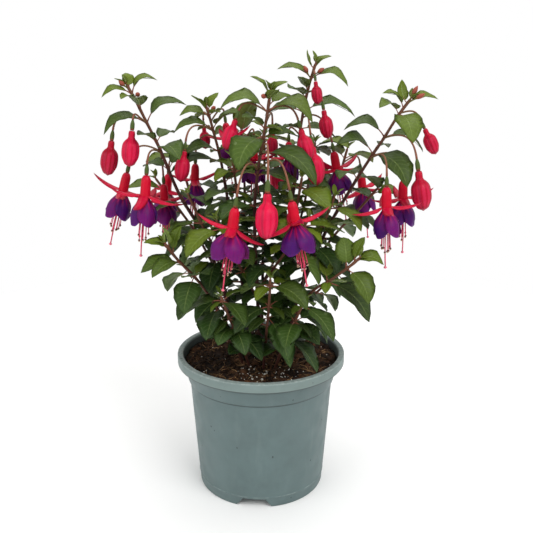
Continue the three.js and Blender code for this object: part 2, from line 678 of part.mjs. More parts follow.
// The pot, turned as one thin shell, with its drain notches and holes cut out
function potSolid() {
  const lip = rimRadius - rimLipWidth;
  const plate = potHeight - rimPlateThickness;
  const profile = [
    [0, floorHeight], [footRadius - wall, floorHeight], [footRadius - wall, 0], [footRadius, 0],
    [bodyTopRadius, shoulderHeight - shoulderStep], [shoulderRadius, shoulderHeight], [underRimRadius, plate],
    [rimRadius - wall, plate], [rimRadius - wall, potHeight - rimDepth], [rimRadius, potHeight - rimDepth],
    [rimRadius, potHeight], [lip, potHeight], [shoulderRadius - wall, shoulderHeight],
    [bodyTopRadius - wall, shoulderHeight - 2 * shoulderStep], [innerFootRadius, floorHeight + floorThickness],
    [0, floorHeight + floorThickness],
  ].map(([radius, height]) => new THREE.Vector2(radius, height));
  const lathe = new THREE.LatheGeometry(profile, potSides);
  lathe.rotateX(Math.PI / 2);
  const shell = solidFromGeometry(lathe);
  const notches = notchAngles.map((angle) => notchCutter(angle));
  const holes = Array.from({ length: drainHoles }, (unused, index) => {
    const angle = radians((360 / drainHoles) * index + 24);
    const hole = new THREE.CylinderGeometry(drainHoleRadius, drainHoleRadius, 3 * floorThickness, 8);
    hole.rotateX(Math.PI / 2);
    hole.translate(drainRingRadius, 0, floorHeight + floorThickness / 2);
    hole.rotateZ(angle);
    return solidFromGeometry(hole);
  });
  return shell.subtract(wasm.Manifold.union([...notches, ...holes]));
}

function notchCutter(angle) {
  const outline = new THREE.Shape([
    new THREE.Vector2(-notchWidth / 2, -1), new THREE.Vector2(notchWidth / 2, -1),
    new THREE.Vector2(notchWidth / 2, 0), new THREE.Vector2(notchTopWidth / 2, notchHeight),
    new THREE.Vector2(-notchTopWidth / 2, notchHeight), new THREE.Vector2(-notchWidth / 2, 0),
  ]);
  const cutter = new THREE.ExtrudeGeometry(outline, { depth: notchDepth, bevelEnabled: false });
  cutter.rotateX(Math.PI / 2);
  cutter.translate(0, footRadius + notchDepth / 2, 0);
  cutter.rotateZ(radians(angle - 90));
  return solidFromGeometry(cutter);
}

// Radius of the pot's inner wall at a height
function insideRadius(height) {
  const bottom = [floorHeight + floorThickness, innerFootRadius];
  const neck = [shoulderHeight - 2 * shoulderStep, bodyTopRadius - wall];
  const step = [shoulderHeight, shoulderRadius - wall];
  const top = [potHeight, rimRadius - rimLipWidth];
  const [low, high] = height < neck[0] ? [bottom, neck] : [step, top];
  return low[1] + ((high[1] - low[1]) * (height - low[0])) / (high[0] - low[0]);
}

// The soil: a plug that fills the pot, rough on top, with a hole round each stem
function soilSolid(stemHoles) {
  const ringAt = (radius, height) => Array.from({ length: potSides }, (unused, side) => {
    const angle = (2 * Math.PI * side) / potSides;
    return vec(radius * Math.sin(angle), -radius * Math.cos(angle), height(side));
  });
  const floor = floorHeight + floorThickness + clearance;
  const neck = shoulderHeight - 2 * (shoulderStep + clearance);
  const wallRings = [floor, neck, shoulderHeight + 3, soilEdgeHeight]
    .map((height) => ringAt(insideRadius(height) - soilFit, () => height));
  const topRings = soilRings.map((radius, index) => ringAt(radius, (side) => {
    const bump = soilRoughness * (chance(side * 5 + index, 21) - 0.4);
    return soilEdgeHeight + soilMound * (1 - radius / 70) + bump;
  }));
  const middle = [vec(0, 0, soilEdgeHeight + soilMound)];
  const plug = skin([...wallRings, ...topRings, middle]);
  return plug.subtract(wasm.Manifold.union(stemHoles));
}

// Solids that stand already, each with its owner, to keep leaves clear of
const standing = [];

function stand(owner, solid) {
  standing.push({ owner, solid, box: solid.boundingBox() });
}

function clears(solid, gap, counts) {
  const box = solid.boundingBox();
  return standing.every((other) => {
    const apart = [0, 1, 2].some((axis) => box.min[axis] > other.box.max[axis] + gap
      || other.box.min[axis] > box.max[axis] + gap);
    return apart || !counts(other) || solid.minGap(other.solid, 2 * gap) >= gap;
  });
}

// Finds room for a leaf: its blade clears its own shoot, and the whole leaf clears all else
function roomFor(owner, leaf) {
  for (const swing of swings) {
    const swung = swungLeaf(leaf, swing);
    const whole = looseLeaf(swung, leaf.face.corners);
    const blade = looseLeaf(swung, stalkRing(swung));
    if (clears(whole, leafGap, (other) => other.owner !== owner)
      && clears(blade, leafGap, (other) => other.owner === owner)) {
      stand(owner, whole);
      return swung;
    }
  }
  return null;
}

const materials = {
  pot: new THREE.MeshStandardMaterial({ color: 0x6f8382, roughness: 0.55, metalness: 0 }),
  soil: new THREE.MeshStandardMaterial({ color: 0x35241a, roughness: 1, metalness: 0 }),
  shoot: new THREE.MeshStandardMaterial({ color: 0x4a7038, roughness: 0.6, metalness: 0 }),
  calyx: new THREE.MeshStandardMaterial({ color: 0xe3182f, roughness: 0.45, metalness: 0 }),
  corolla: new THREE.MeshStandardMaterial({ color: 0x661c8a, roughness: 0.5, metalness: 0 }),
  bud: new THREE.MeshStandardMaterial({ color: 0xc91b40, roughness: 0.45, metalness: 0 }),
};

const plant = new THREE.Group();

function addNode(name, solid, material) {
  const mesh = new THREE.Mesh(geometryFrom(solid), materials[material]);
  mesh.name = name;
  plant.add(mesh);
}

// Each stem's line, the heights of its nodes, and its body of rings
const stems = Object.fromEntries(Object.entries(shoots).map(([name, list]) => {
  const trunk = stemLine(list[0]);
  const made = list.map((stem, index) => {
    const line = index === 0 ? trunk : stemLine(stem, trunk);
    const clear = (clearLeaves[name] ?? []).filter((leaf) => leaf[0] === index).map((leaf) => leaf[1]);
    const pairs = pairHeights(stem.pairs).filter((height) => clear.every((node) => Math.abs(node - height) > 4));
    const nodes = [...new Set([...clear, ...pairs])];
    return { stem, line, pairs, body: stemBody(stem, line, nodes), leaves: [] };
  });
  return [name, made];
}));

// What hangs on flower stalks, and the stalks themselves
const stalks = Object.fromEntries(Object.keys(shoots).map((name) => [name, []]));

for (const [name, [shoot, stem, height, end, lean, size, spin, lifts, hemRadius]] of Object.entries(blooms)) {
  const axis = flowerAxis(lean);
  stalks[shoot].push(flowerStalk(stems[shoot][stem].line, height, vec(...end), axis, size));
  const calyx = hang(calyxSolid(lifts), vec(...end), axis, size, spin);
  const corolla = hang(corollaSolid(hemRadius / size), vec(...end), axis, size, spin);
  stand(`bloom_${name}`, calyx);
  stand(`bloom_${name}`, corolla);
  addNode(`bloom_${name}_calyx`, calyx, 'calyx');
  addNode(`bloom_${name}_corolla`, corolla, 'corolla');
}

for (const [name, [shoot, stem, height, end, lean, size]] of Object.entries(buds)) {
  const axis = flowerAxis(lean);
  stalks[shoot].push(flowerStalk(stems[shoot][stem].line, height, vec(...end), axis, size));
  const bud = hang(budSolid(), vec(...end), axis, size, 20);
  stand(`bud_${name}`, bud);
  addNode(`bud_${name}`, bud, 'bud');
}

for (const [name, list] of Object.entries(tipBuds)) {
  for (const [stem, height, tip] of list) {
    const { point } = stemPoint(stems[name][stem].line, height);
    const end = vec(...tip);
    const line = [0, 0.5, 0.75, 1].map((share) => point.clone().lerp(end, share));
    stalks[name].push(rod(line, [stalkRadius, stalkRadius, tipBudRadius, 0], 4));
  }
}

const pot = potSolid();
const soil = soilSolid(Object.values(stems).map(([{ body }]) => stemHole(body)));
stand('pot', pot);
stand('soil', soil);
addNode('pot', pot, 'pot');
addNode('soil', soil, 'soil');

for (const [name, made] of Object.entries(stems)) {
  made.forEach(({ body }) => stand(name, skin(body.rings)));
  stalks[name].forEach((solid) => stand(name, solid));
}

// Leaves that stand clear take the face of their node that points most their way
for (const [name, list] of Object.entries(clearLeaves)) {
  for (const [index, height, tip, width, arch] of list) {
    const { body, leaves } = stems[name][index];
    const end = vec(...tip);
    const free = bandFaces(body, height)
      .filter((face) => leaves.every((leaf) => leaf.face.index !== face.index || leaf.face.side !== face.side));
    const towards = (face) => end.clone().sub(face.middle).normalize().dot(face.outward);
    const face = free.reduce((best, other) => (towards(other) > towards(best) ? other : best));
    const roll = clearRoll * end.clone().sub(face.middle).normalize().x;
    const leaf = { face, base: face.middle, tip: end, width: clearWidth * width, arch, roll, clear: true };
    const found = roomFor(name, leaf);
    if (found) {
      leaves.push(found);
    }
  }
}

// The other leaves stand in pairs, each pair a quarter turn from the one below
Object.entries(stems).forEach(([name, made], shoot) => {
  made.forEach(({ stem, line, pairs, body, leaves }, index) => {
    pairs.forEach((height, pair) => {
      const faces = bandFaces(body, height).filter((face) => face.side % 2 === pair % 2);
      faces.forEach((face, twin) => {
        const seed = 1000 * shoot + 300 * index + 10 * pair + twin;
        const { along } = stemPoint(line, height);
        const found = roomFor(name, pairLeaf(face, along, height, stem.pairs[3], seed));
        if (found) {
          leaves.push(found);
        }
      });
    });
  });
});

// A stem and its leaves as one skin: each leaf takes the place of its face of the band
function leafyStem({ body, leaves }) {
  const points = [];
  const triangles = [];
  const rings = addRings(points, body.rings);
  rings.slice(1).forEach((next, index) => {
    const ring = rings[index];
    if (next.length === 1) {
      joinRings(triangles, ring, next);
      return;
    }
    [0, 1, 2, 3].forEach((side) => {
      const beside = (side + 1) % 4;
      const corners = [ring[side], ring[beside], next[beside], next[side]];
      const leaf = leaves.find(({ face }) => face.index === index && face.side === side);
      if (leaf) {
        addLeaf(points, triangles, corners, leaf);
      } else {
        capRing(triangles, corners, false);
      }
    });
  });
  capRing(triangles, rings[0], true);
  return solidFrom(points, triangles);
}

for (const [name, made] of Object.entries(stems)) {
  addNode(`shoot_${name}`, wasm.Manifold.union([...made.map(leafyStem), ...stalks[name]]), 'shoot');
}

export default plant;
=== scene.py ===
"""A fuchsia in a plain nursery pot: the finished surfaces round its solids.

The tables hold millimetres, as the part's own source does. What goes into a mesh is in metres.
"""

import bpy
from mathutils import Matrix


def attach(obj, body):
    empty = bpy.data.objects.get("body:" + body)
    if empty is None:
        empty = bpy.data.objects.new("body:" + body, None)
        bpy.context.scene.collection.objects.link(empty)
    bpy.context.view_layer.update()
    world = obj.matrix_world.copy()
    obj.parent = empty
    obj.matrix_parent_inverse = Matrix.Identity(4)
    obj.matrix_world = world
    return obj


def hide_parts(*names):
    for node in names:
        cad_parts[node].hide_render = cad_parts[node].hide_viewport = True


bl_info = {
    "name": "Potted fuchsia",
    "version": (1, 0, 0),
    "blender": (4, 5, 0),
    "location": "3D View > Sidebar > Fuchsia",
    "description": "Builds a potted fuchsia with hanging blooms on its solid model",
    "category": "Add Mesh",
}

import math

import bpy
import numpy as np

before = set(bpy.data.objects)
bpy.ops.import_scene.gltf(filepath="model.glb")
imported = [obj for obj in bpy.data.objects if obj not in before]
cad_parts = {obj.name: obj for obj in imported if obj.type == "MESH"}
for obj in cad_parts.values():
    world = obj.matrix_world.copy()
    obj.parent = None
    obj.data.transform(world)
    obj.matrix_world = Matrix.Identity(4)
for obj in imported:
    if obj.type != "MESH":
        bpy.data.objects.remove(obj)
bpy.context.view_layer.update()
MM = 0.001
UP = np.array([0.0, 0.0, 1.0])

# Pot: its profile as radius and height, from the middle of the underside over the foot, the
# wall and the rim, and down inside to the middle of the floor
UNDERSIDE = [[0, 8], [40, 8], [55.5, 8], [55.5, 0], [57, 0], [57.5, 7.2], [57.75, 8.6], [58.05, 9],
             [58.1, 10.2], [57.9, 10.8]]
OUTER_WALL = [[58.35, 16], [64.3, 100.2]]
RIM = [[65.8, 101], [71.4, 123.4], [73.5, 123.4], [73.5, 116.6], [75, 116.6], [75, 125]]
INNER_WALL = [[70.2, 125], [64.3, 101], [62.8, 99.4], [55.9, 9.6]]
POT_FLOOR = [[40, 9.6], [0, 9.6]]
POT_COLUMNS = 144
FLOOR_UNDERSIDE = 8.0
FOOT_INSIDE = 50
FOOT_RADIUS = 56.45
NOTCH_WIDTH = 31
NOTCH_TOP_WIDTH = 19
NOTCH_HEIGHT = 7.5
NOTCH_ANGLES = [-96, 24, 144]
DRAIN_HOLE_RADIUS = 4
DRAIN_RING_RADIUS = 42
DRAIN_HOLES = 6
DRAIN_FIRST_ANGLE = 24
DRILL_HEIGHTS = [[7.0], [11.0]]
CENTRE_WELD = 0.00001

# Soil
SOIL_EDGE_HEIGHT = 117.3
SOIL_MOUND = 3.5
SOIL_MOUND_RADIUS = 70
SOIL_WAVES = [[26, 3, 1.15], [11, 4, 0.92], [5, 5, 0.575], [2.2, 6, 0.24]]
SOIL_RADIUS = 68.2
SOIL_SIDE_HEIGHTS = [115.0, 108, 101, 60, 30, 10.2]
SOIL_SIDE_TOP = 115.5
SOIL_WALL_GAP = 0.5
SOIL_COLUMNS = 150
CRUMB_CORNERS = np.array([[x, y, z] for z in (-1, 1) for x, y in ((-1, -1), (1, -1), (1, 1), (-1, 1))])
CRUMB_SIDES = np.array([[0, 3, 2, 1], [4, 5, 6, 7], [0, 1, 5, 4], [1, 2, 6, 5], [2, 3, 7, 6], [3, 0, 4, 7]])
CRUMB_SPREAD = 66
CRUMB_TILT = 0.6
FIBRE_SPREAD = 60
FIBRE_LIMIT = 65

# Shoots and leaves
STEM_TIP_RADIUS = 1
STEM_END_RADIUS = 0.15
GROWING_TIP = 2
ROUND_STEM_SHARE = 0.9
ROUND_STEM_GAIN = 0.25
NODE_SWELL = 0.22
NODE_SWELL_LENGTH = 1.8
NODE_HALF = 0.9
NODE_GAP = 4
STEP_CLEAR = 9
FOUND_WITHIN = 0.03
PAIR_TURN = 30
PAIR_FORWARD = 0.4
PAIR_SIZE = [0.92, 0.28]
PAIR_WIDTH = [0.56, 0.1]
PAIR_ARCH = [0.09, 0.1]
PAIR_ROLL = 30
PAIR_DROOP = 0.75
PAIR_DROOP_RANGE = 0.3
PAIR_DROOP_PER_HEIGHT = 0.0025
PAIR_START_HEIGHT = 150
CLEAR_ROLL = 26
CLEAR_WIDTH = 1.22
STEEPEST_CHORD = 84
BLADE_STATIONS = np.array([0.004, 0.06, 0.16, 0.28, 0.4, 0.52, 0.64, 0.76, 0.89, 1.0])
BLADE_ACROSS = np.array([-1, -0.5, 0, 0.5, 1])
FOLD_ANGLE = 16
BLADE_WAVE = 0.1
STALK_SHARE = 0.15
MIDRIB_STATIONS = [-0.012, 0.07, 0.15, 0.5, 0.9]
MIDRIB_RADII = [0.7, 0.52, 0.5, 0.36, 0.14]
MIDRIB_DROPS = [[0, 0.13, 0.25, 1], [0, 0.1, 0.45, 0.35]]
LOW_LEAF_HEIGHT = 152
LOW_LEAF_SHARE = 0.74
LOW_LEAF_RISE = 0.15
LOW_LEAF_WIDTH = 0.9
SIDE_LEAF_HEIGHTS = [168, 332]
SIDE_LEAF_REACH = 62
SIDE_LEAF_LENGTH = 18.5
TUFT_LEAVES = 4
TUFT_LEAF_LENGTH = 9
TUFT_LEAF_WIDTH = 0.42
TUFT_LEAF_ARCH = 0.12
TUFT_SPREAD = 0.75
YOUNGER_BY = 25
YOUNG_LENGTH = 44
OLD_WOOD_HEIGHTS = [196, 236]
# Painted light on the upper leaves: from the first height to the second they are pushed towards the tip
# colour, up to this share
SUNLIT_HEIGHTS = [235, 320]
SUNLIT_YOUTH = 0.3
RED_WOOD_LENGTH = 120
FLOWER_RADIUS = 9
FLOWER_ROOM = 4

# Flowers
CLEARANCE = 0.3
TUBE_LENGTH = 18.5
TUBE_RINGS = [[0, 2.2], [0.22, 3.9], [1, 4.3]]
TUBE_SIDES = 32
SEPAL_LENGTH = 30
SEPAL_ROOT = 1.6
SEPAL_RINGS = [[0, 4.0], [0.25, 4.6], [0.5, 4.1], [0.8, 2.6], [1, 0]]
SEPAL_STATIONS = 19
SEPAL_ACROSS = np.array([-1, -0.7, -0.35, 0, 0.35, 0.7, 1])
SEPAL_THICKNESS = 0.9
SEPAL_CUP = 0.62
SEPAL_CROWN = 0.22
SEPAL_DIP = 3.2
SEPAL_CURL = 2.5
COROLLA_HEIGHT = 24
COROLLA_TOP_RADIUS = 3.9
COROLLA_BULGE = 0.86
PETAL_STEP = 0.13
PETAL_SCALLOP = 0.26
PETAL_PUFF = 0.19
PETAL_RIPPLE = 0.06
PETAL_SHORTENING = 0.1
PETAL_LAP = [1.4, -0.3]
PETAL_FLARE = [-0.14, 0.34]
PETAL_THICKNESS = [0.2, 0.35]
PETAL_STATIONS = 13
PETAL_COLUMNS = 15
OVARY_LENGTH = 9
OVARY_RINGS = [[0, 0.12, 0.4, 0.7, 0.92, 1], [0.7, 1.2, 1.848, 1.892, 1.71, 1.5]]
STALK_RADIUS = 0.76
STALK_STATIONS = 16
STAMENS = 8
STAMEN_DROP = 9
STAMEN_SPREAD = 5
FILAMENT_RADIUS = 0.4
FILAMENT_START = 1.5
FILAMENT_REACH = [3.2, 1.7]
STYLE_DROP = 25.4
STYLE_RADIUS = 0.58
BUD_RINGS = [[0, 2.2], [2, 2.8], [5.8, 2.9], [8, 4.9], [11, 6.9], [16, 7.6], [21.5, 7.2], [25.5, 5.5],
             [28, 3.9], [30, 0]]
BUD_POINT = [[28, 28.8, 29.4, 30.2], [4.1, 2.8, 1.5, 0.3]]
BUD_SIDES = 48
BUD_SPIN = 20
BUD_SEAM = 0.055
BUD_PLEAT = 0.032
TIP_BUD_STATIONS = np.array([0, 0.25, 0.42, 0.5, 0.6, 0.7, 0.8, 0.9, 0.97, 1])
TIP_BUD_RINGS = [[0, 0.42, 0.5, 0.6, 0.72, 0.85, 1], [0.45, 0.5, 0.9, 1.6, 2.09, 1.6, 0.1]]

# Stage: the floor's rings, and by light its name, place in metres and share of the power
FLOOR_RADII = [20, 200, 400, 600, 720]
LIGHTS = [("key", (0.75, -0.95, 1.25), 1.0), ("fill", (-1.0, -0.7, 0.75), 0.4),
          ("top", (0.1, 0.35, 1.5), 0.5)]
ROOM_LIGHT = 0.68
CAMERA_PLACE = (0.005, -0.575, 0.36)
CAMERA_PITCH = 15.3
FOCAL_PIXELS = 680
PHOTO_WIDTH = 533
SENSOR_WIDTH = 36

# Each shoot's woody stems: the radius at the start, for a branch the height of its fork on the
# first stem, then from which height to which its leaf pairs stand, their spacing and length, and
# the points from the soil or after the fork to the tip
SHOOTS = {
    "left": [
        [2.3, None, [176, 262, 28, 38], [[-13, -5, 98], [-28, -4, 165], [-48, 0, 227], [-69, 0, 266],
         [-83, -5, 304], [-93, -8, 327], [-101, -10, 345], [-107, -10, 356]]],
        [1.3, 197, [228, 268, 19, 31], [[-60, 18, 232], [-82, 38, 256], [-96, 46, 273]]],
        [1.2, 185, [212, 262, 17, 34], [[-38, -14, 218], [-50, -22, 248], [-58, -28, 270]]],
    ],
    "second": [
        [1.8, None, [184, 275, 30, 38], [[-5, 9, 98], [-14, 14, 165], [-25, 18, 230], [-34, 20, 289],
         [-41, 20, 319], [-46, 20, 338]]],
        [1.2, 200, [236, 312, 25, 33], [[-15, 36, 248], [-16, 48, 290], [-18, 54, 316]]],
        [1.2, 205, [232, 290, 18, 33], [[-20, 4, 238], [-20, -2, 266], [-23, -6, 296]]],
    ],
    "centre": [
        [2.2, None, [156, 290, 26, 38], [[2, -11, 98], [-2, -16, 165], [-5, -20, 248], [-2, -26, 289],
         [5, -22, 331], [8, -20, 351]]],
        [1.2, 178, [206, 248, 20, 34], [[-20, -34, 218], [-34, -46, 252]]],
        [1.2, 186, [210, 250, 19, 34], [[20, -36, 224], [38, -48, 254]]],
    ],
    "third": [
        [2.1, None, [180, 305, 30, 38], [[7, 8, 98], [17, 13, 165], [26, 18, 235], [31, 20, 293],
         [36, 20, 332], [41, 20, 356], [46, 20, 373]]],
        [1.2, 200, [228, 300, 24, 33], [[38, 38, 245], [46, 56, 283], [50, 63, 304]]],
        [1.2, 190, [220, 276, 18, 33], [[26, 0, 226], [30, -10, 254], [34, -16, 282]]],
    ],
    "right": [
        [2.3, None, [176, 284, 26, 38], [[13, -2, 98], [30, -1, 165], [53, 0, 227], [76, 0, 270],
         [92, -3, 298], [102, -5, 314], [112, -5, 331], [122, -5, 345]]],
        [1.3, 197, [224, 256, 19, 31], [[64, 14, 226], [88, 26, 249], [104, 32, 266]]],
        [1.2, 182, [208, 262, 17, 34], [[40, -12, 214], [52, -20, 244], [60, -26, 268]]],
    ],
    "low_left": [
        [1.6, None, [146, 182, 26, 38], [[-10, -13, 98], [-26, -22, 150], [-49, -32, 195],
         [-67, -40, 219], [-76, -44, 233]]],
    ],
    "low_right": [
        [1.6, None, [146, 184, 26, 38], [[10, -14, 98], [22, -26, 150], [40, -42, 190], [57, -52, 206],
         [70, -60, 219], [77, -62, 226]]],
    ],
    "front_left": [
        [1.3, None, [138, 190, 17, 33], [[-4, -18, 98], [-15, -36, 140], [-25, -50, 172],
         [-31, -56, 192]]],
    ],
    "front": [
        [1.3, None, [146, 206, 19, 35], [[1, -21, 98], [4, -40, 145], [7, -54, 185], [8, -60, 208]]],
    ],
    "front_right": [
        [1.3, None, [138, 188, 16, 33], [[7, -19, 98], [18, -38, 140], [28, -52, 170], [35, -58, 190]]],
    ],
    "back_left": [
        [1.9, None, [170, 294, 30, 36], [[-9, 12, 98], [-30, 32, 160], [-52, 50, 215], [-68, 60, 262],
         [-77, 64, 298]]],
        [1.2, 142, [168, 188, 18, 34], [[-50, 36, 168], [-72, 38, 192]]],
    ],
    "back": [
        [1.9, None, [164, 304, 28, 36], [[0, 15, 98], [1, 40, 160], [2, 60, 215], [3, 72, 265],
         [3, 78, 308]]],
        [1.2, 168, [196, 250, 18, 34], [[-14, 42, 204], [-22, 40, 232], [-26, 36, 256]]],
        [1.2, 174, [202, 256, 18, 34], [[18, 46, 208], [26, 44, 236], [28, 38, 260]]],
    ],
    "back_right": [
        [1.9, None, [170, 294, 30, 36], [[9, 12, 98], [32, 32, 160], [54, 50, 215], [70, 60, 262],
         [80, 64, 298]]],
        [1.2, 142, [168, 186, 18, 34], [[52, 34, 168], [74, 34, 190]]],
    ],
}

# Leaves that stand clear of the bush, by shoot: stem, height of the node on it, tip, width, arch
CLEAR_LEAVES = {
    "left": [
        [0, 350, [-126, -20, 351], 9, 6], [0, 350, [-83, -5, 360], 9, 8], [0, 354, [-109, -4, 366], 9, 2],
        [0, 346, [-108, -32, 346], 9, 3], [0, 337, [-95, -36, 347], 13, 4],
        [0, 327, [-61, 5, 340], 14, 10], [0, 327, [-125, -24, 318], 13, 10],
        [0, 311, [-95, -40, 319], 11, 4], [0, 311, [-75, 24, 316], 12, 5],
        [0, 305, [-64, -32, 299], 18, 7], [0, 288, [-99, 18, 288], 11, 5],
        [0, 288, [-62, 30, 298], 13, 6], [1, 263, [-118, 22, 268], 13, 5],
    ],
    "second": [
        [0, 331, [-69, 15, 331], 12, 5], [0, 335, [-58, 8, 348], 8, 2], [0, 335, [-36, 26, 350], 10, 2],
        [0, 320, [-18, 6, 334], 18, 5], [0, 320, [-74, 14, 317], 12, 8], [0, 301, [-64, 4, 300], 14, 6],
        [0, 292, [-74, -2, 284], 13, 8],
    ],
    "centre": [
        [0, 348, [-8, -24, 363], 8, 4], [0, 348, [22, -22, 359], 10, 3], [0, 344, [9, -36, 360], 10, 2],
        [0, 336, [-32, -24, 338], 16, 11], [0, 341, [27, -8, 347], 11, 4],
        [0, 336, [41, -36, 328], 18, 12], [0, 316, [-17, -50, 293], 24, 8],
        [0, 323, [-14, -42, 333], 13, 4], [0, 303, [47, -44, 281], 19, 12],
        [0, 316, [31, -4, 315], 16, 5],
    ],
    "third": [
        [0, 370, [39, 18, 385], 8, -2], [0, 370, [58, 22, 382], 9, 3], [0, 362, [14, 15, 369], 10, 6],
        [0, 362, [73, 11, 355], 12, 9], [0, 346, [23, -8, 354], 15, 3], [0, 352, [32, 0, 363], 10, 2],
        [0, 334, [82, 12, 334], 14, 11], [0, 320, [72, 28, 314], 13, 5], [0, 334, [3, 36, 330], 15, 6],
    ],
    "right": [
        [0, 342, [116, 3, 361], 9, -3], [0, 342, [146, -6, 345], 10, 5], [0, 338, [98, -12, 350], 10, 6],
        [0, 333, [94, -24, 339], 13, 7], [0, 333, [119, -40, 313], 20, 7], [0, 315, [69, 0, 320], 14, 10],
        [0, 315, [138, 8, 301], 13, 9], [0, 301, [62, -12, 309], 16, 9], [0, 306, [112, 28, 303], 10, 4],
        [0, 301, [113, -36, 277], 24, 9], [1, 262, [124, 22, 262], 13, 4],
    ],
    "low_left": [
        [0, 217, [-96, -50, 211], 16, 5], [0, 217, [-84, -68, 212], 14, 5],
        [0, 225, [-64, -34, 247], 11, 3], [0, 203, [-40, -62, 213], 18, 3],
        [0, 230, [-78, -46, 248], 10, 2], [0, 203, [-61, -64, 181], 20, 4],
        [0, 230, [-92, -46, 238], 10, 3],
    ],
    "low_right": [
        [0, 223, [96, -66, 222], 13, 6], [0, 217, [84, -76, 193], 18, 6], [0, 204, [87, -64, 174], 23, 7],
        [0, 217, [66, -48, 240], 17, 4], [0, 223, [82, -56, 242], 10, 2],
    ],
    "front_left": [
        [0, 163, [-34, -66, 155], 17, 5], [0, 163, [-12, -70, 148], 16, 4],
    ],
    "front": [
        [0, 173, [22, -74, 145], 18, 5],
    ],
    "front_right": [
        [0, 162, [48, -62, 154], 17, 5],
    ],
}

# Blooms: shoot, stem, height of the stalk, end of the stalk, lean of the bloom, size,
# angle of the first sepal, lifts of the four sepals and radius of the corolla's hem
BLOOM_ROWS = {
    "a": ["left", 0, 303, [-112, 8, 292], [-0.28, 0], 0.95, 185, [14, -8, 0, -6], 9.5],
    "b": ["left", 0, 302, [-91, -26, 295], [-0.1, -0.05], 0.97, 172, [0, -24, -14, 4], 10],
    "c": ["left", 0, 301, [-85, 18, 280], [0, 0.05], 0.83, 232, [6, -6, -4, 8], 9],
    "d": ["second", 0, 312, [-58, 34, 296], [-0.06, 0.04], 0.86, 12, [22, 0, 10, -4], 9],
    "e": ["centre", 0, 290, [-17, -76, 277], [-0.15, -0.05], 0.93, 176, [11, -8, -24, 2], 12.8],
    "f": ["centre", 0, 291, [22, -76, 282], [0.18, -0.05], 0.95, 8, [10, 4, -18, 10], 11.6],
    "g": ["third", 1, 296, [25, 45, 314], [0, 0], 0.8, 30, [12, 8, 0, 10], 9],
    "h": ["third", 0, 329, [62, 24, 308], [0.2, 0], 0.9, 35, [12, 20, 4, -2], 10.5],
    "i": ["right", 0, 297, [100, -38, 287], [0.03, -0.05], 0.95, 178, [-16, -10, 2, 10], 10],
    "j": ["right", 0, 299, [120, -3, 287], [0.04, 0.05], 0.92, 6, [12, 8, -4, -8], 10],
    "k": ["second", 0, 326, [-32, 40, 331], [0.1, 0.1], 0.8, 200, [14, 4, 16, 10], 9],
    "l": ["second", 1, 304, [-6, 29, 314], [0, -0.15], 0.82, 60, [20, 30, 16, 10], 9],
    "m": ["back_left", 0, 284, [-88, 76, 282], [-0.12, 0.06], 0.95, 140, [8, -10, 4, -16], 11],
    "n": ["back_right", 0, 286, [94, 76, 284], [0.14, 0.05], 0.95, 35, [14, -6, -12, 2], 10],
}

# Buds: shoot, stem, height of the stalk, end of the stalk, lean of the bud, size and how rosy it
# is, from 0 for dark crimson
BUD_ROWS = {
    "1": ["left", 0, 328, [-120, -12, 321], [-0.18, 0], 0.95, 0.1],
    "2": ["left", 0, 327, [-101, -24, 330], [-0.12, -0.05], 0.95, 0.75],
    "3": ["second", 0, 318, [-62, -4, 311], [-0.15, -0.1], 0.85, 0.6],
    "4": ["centre", 0, 336, [-17, -24, 337], [-0.35, -0.05], 0.82, 0.9],
    "5": ["second", 0, 328, [-51, 41, 326], [0.05, 0.1], 0.65, 0.5],
    "6": ["centre", 0, 303, [6, -85, 291], [-0.03, -0.05], 1.12, 1],
    "7": ["centre", 0, 337, [30, -24, 330], [0.3, -0.1], 0.85, 0.6],
    "8": ["third", 0, 331, [41, -12, 317], [0.15, -0.05], 1.05, 0.9],
    "9": ["centre", 0, 327, [10, 8, 324], [0, 0.05], 0.65, 0.5],
    "10": ["third", 0, 364, [45, 10, 365], [0.12, -0.05], 0.62, 0.2],
    "11": ["third", 0, 350, [52, 14, 343], [0.18, 0], 0.8, 0.3],
    "12": ["right", 0, 334, [131, -10, 328], [0.5, -0.05], 0.75, 0.4],
    "13": ["right", 0, 314, [126, -24, 299], [0.18, -0.05], 1.08, 0.3],
    "14": ["back", 0, 296, [14, 96, 292], [0.06, 0.05], 1, 0.7],
    "15": ["back", 0, 299, [-12, 92, 300], [-0.12, 0.04], 0.85, 0.4],
}

# Smallest buds, fused to their shoots: stem, height, tip
TIP_BUDS = {
    "left": [[0, 352, [-113, -13, 360]], [0, 347, [-96, -18, 350]]],
    "centre": [[0, 346, [1, -31, 349]]],
    "third": [[0, 361, [36, 14, 372]], [0, 363, [53, 13, 370]]],
    "right": [[0, 342, [127, -8, 356]], [0, 342, [132, -14, 350]]],
    "second": [[0, 333, [-38, 12, 339]]],
}


# Numbers and curves

def chance(first, second):
    """A repeatable number from 0 to 1 for a pair of whole numbers, the same as in the part's source."""
    mask = 0xFFFFFFFF
    state = (first * 7919 + second * 104729 + 12345) & mask
    for _ in range(3):
        state = (state * 1664525 + 1013904223) & mask
        state ^= state >> 15
    return state / 4294967296


def within(start_and_range, share):
    """The start, and a share of the range more."""
    start, distance = start_and_range
    return start + distance * share


def unit(vector):
    """A vector, or each row of an array, divided by its length."""
    vector = np.asarray(vector, float)
    return vector / np.maximum(np.linalg.norm(vector, axis=-1, keepdims=True), 1e-12)


def turned(vector, axis, angle):
    """A vector turned about an axis: its part along the axis stays, the rest swings by the angle."""
    axis = unit(axis)
    return (vector * math.cos(angle) + np.cross(axis, vector) * math.sin(angle)
            + axis * np.dot(axis, vector) * (1 - math.cos(angle)))


def turns(angles, first, second):
    """Matrices that turn one axis, by its number, towards another by each angle."""
    matrices = np.tile(np.eye(3), (len(angles), 1, 1))
    matrices[:, first, first] = matrices[:, second, second] = np.cos(angles)
    matrices[:, second, first] = np.sin(angles)
    matrices[:, first, second] = -np.sin(angles)
    return matrices


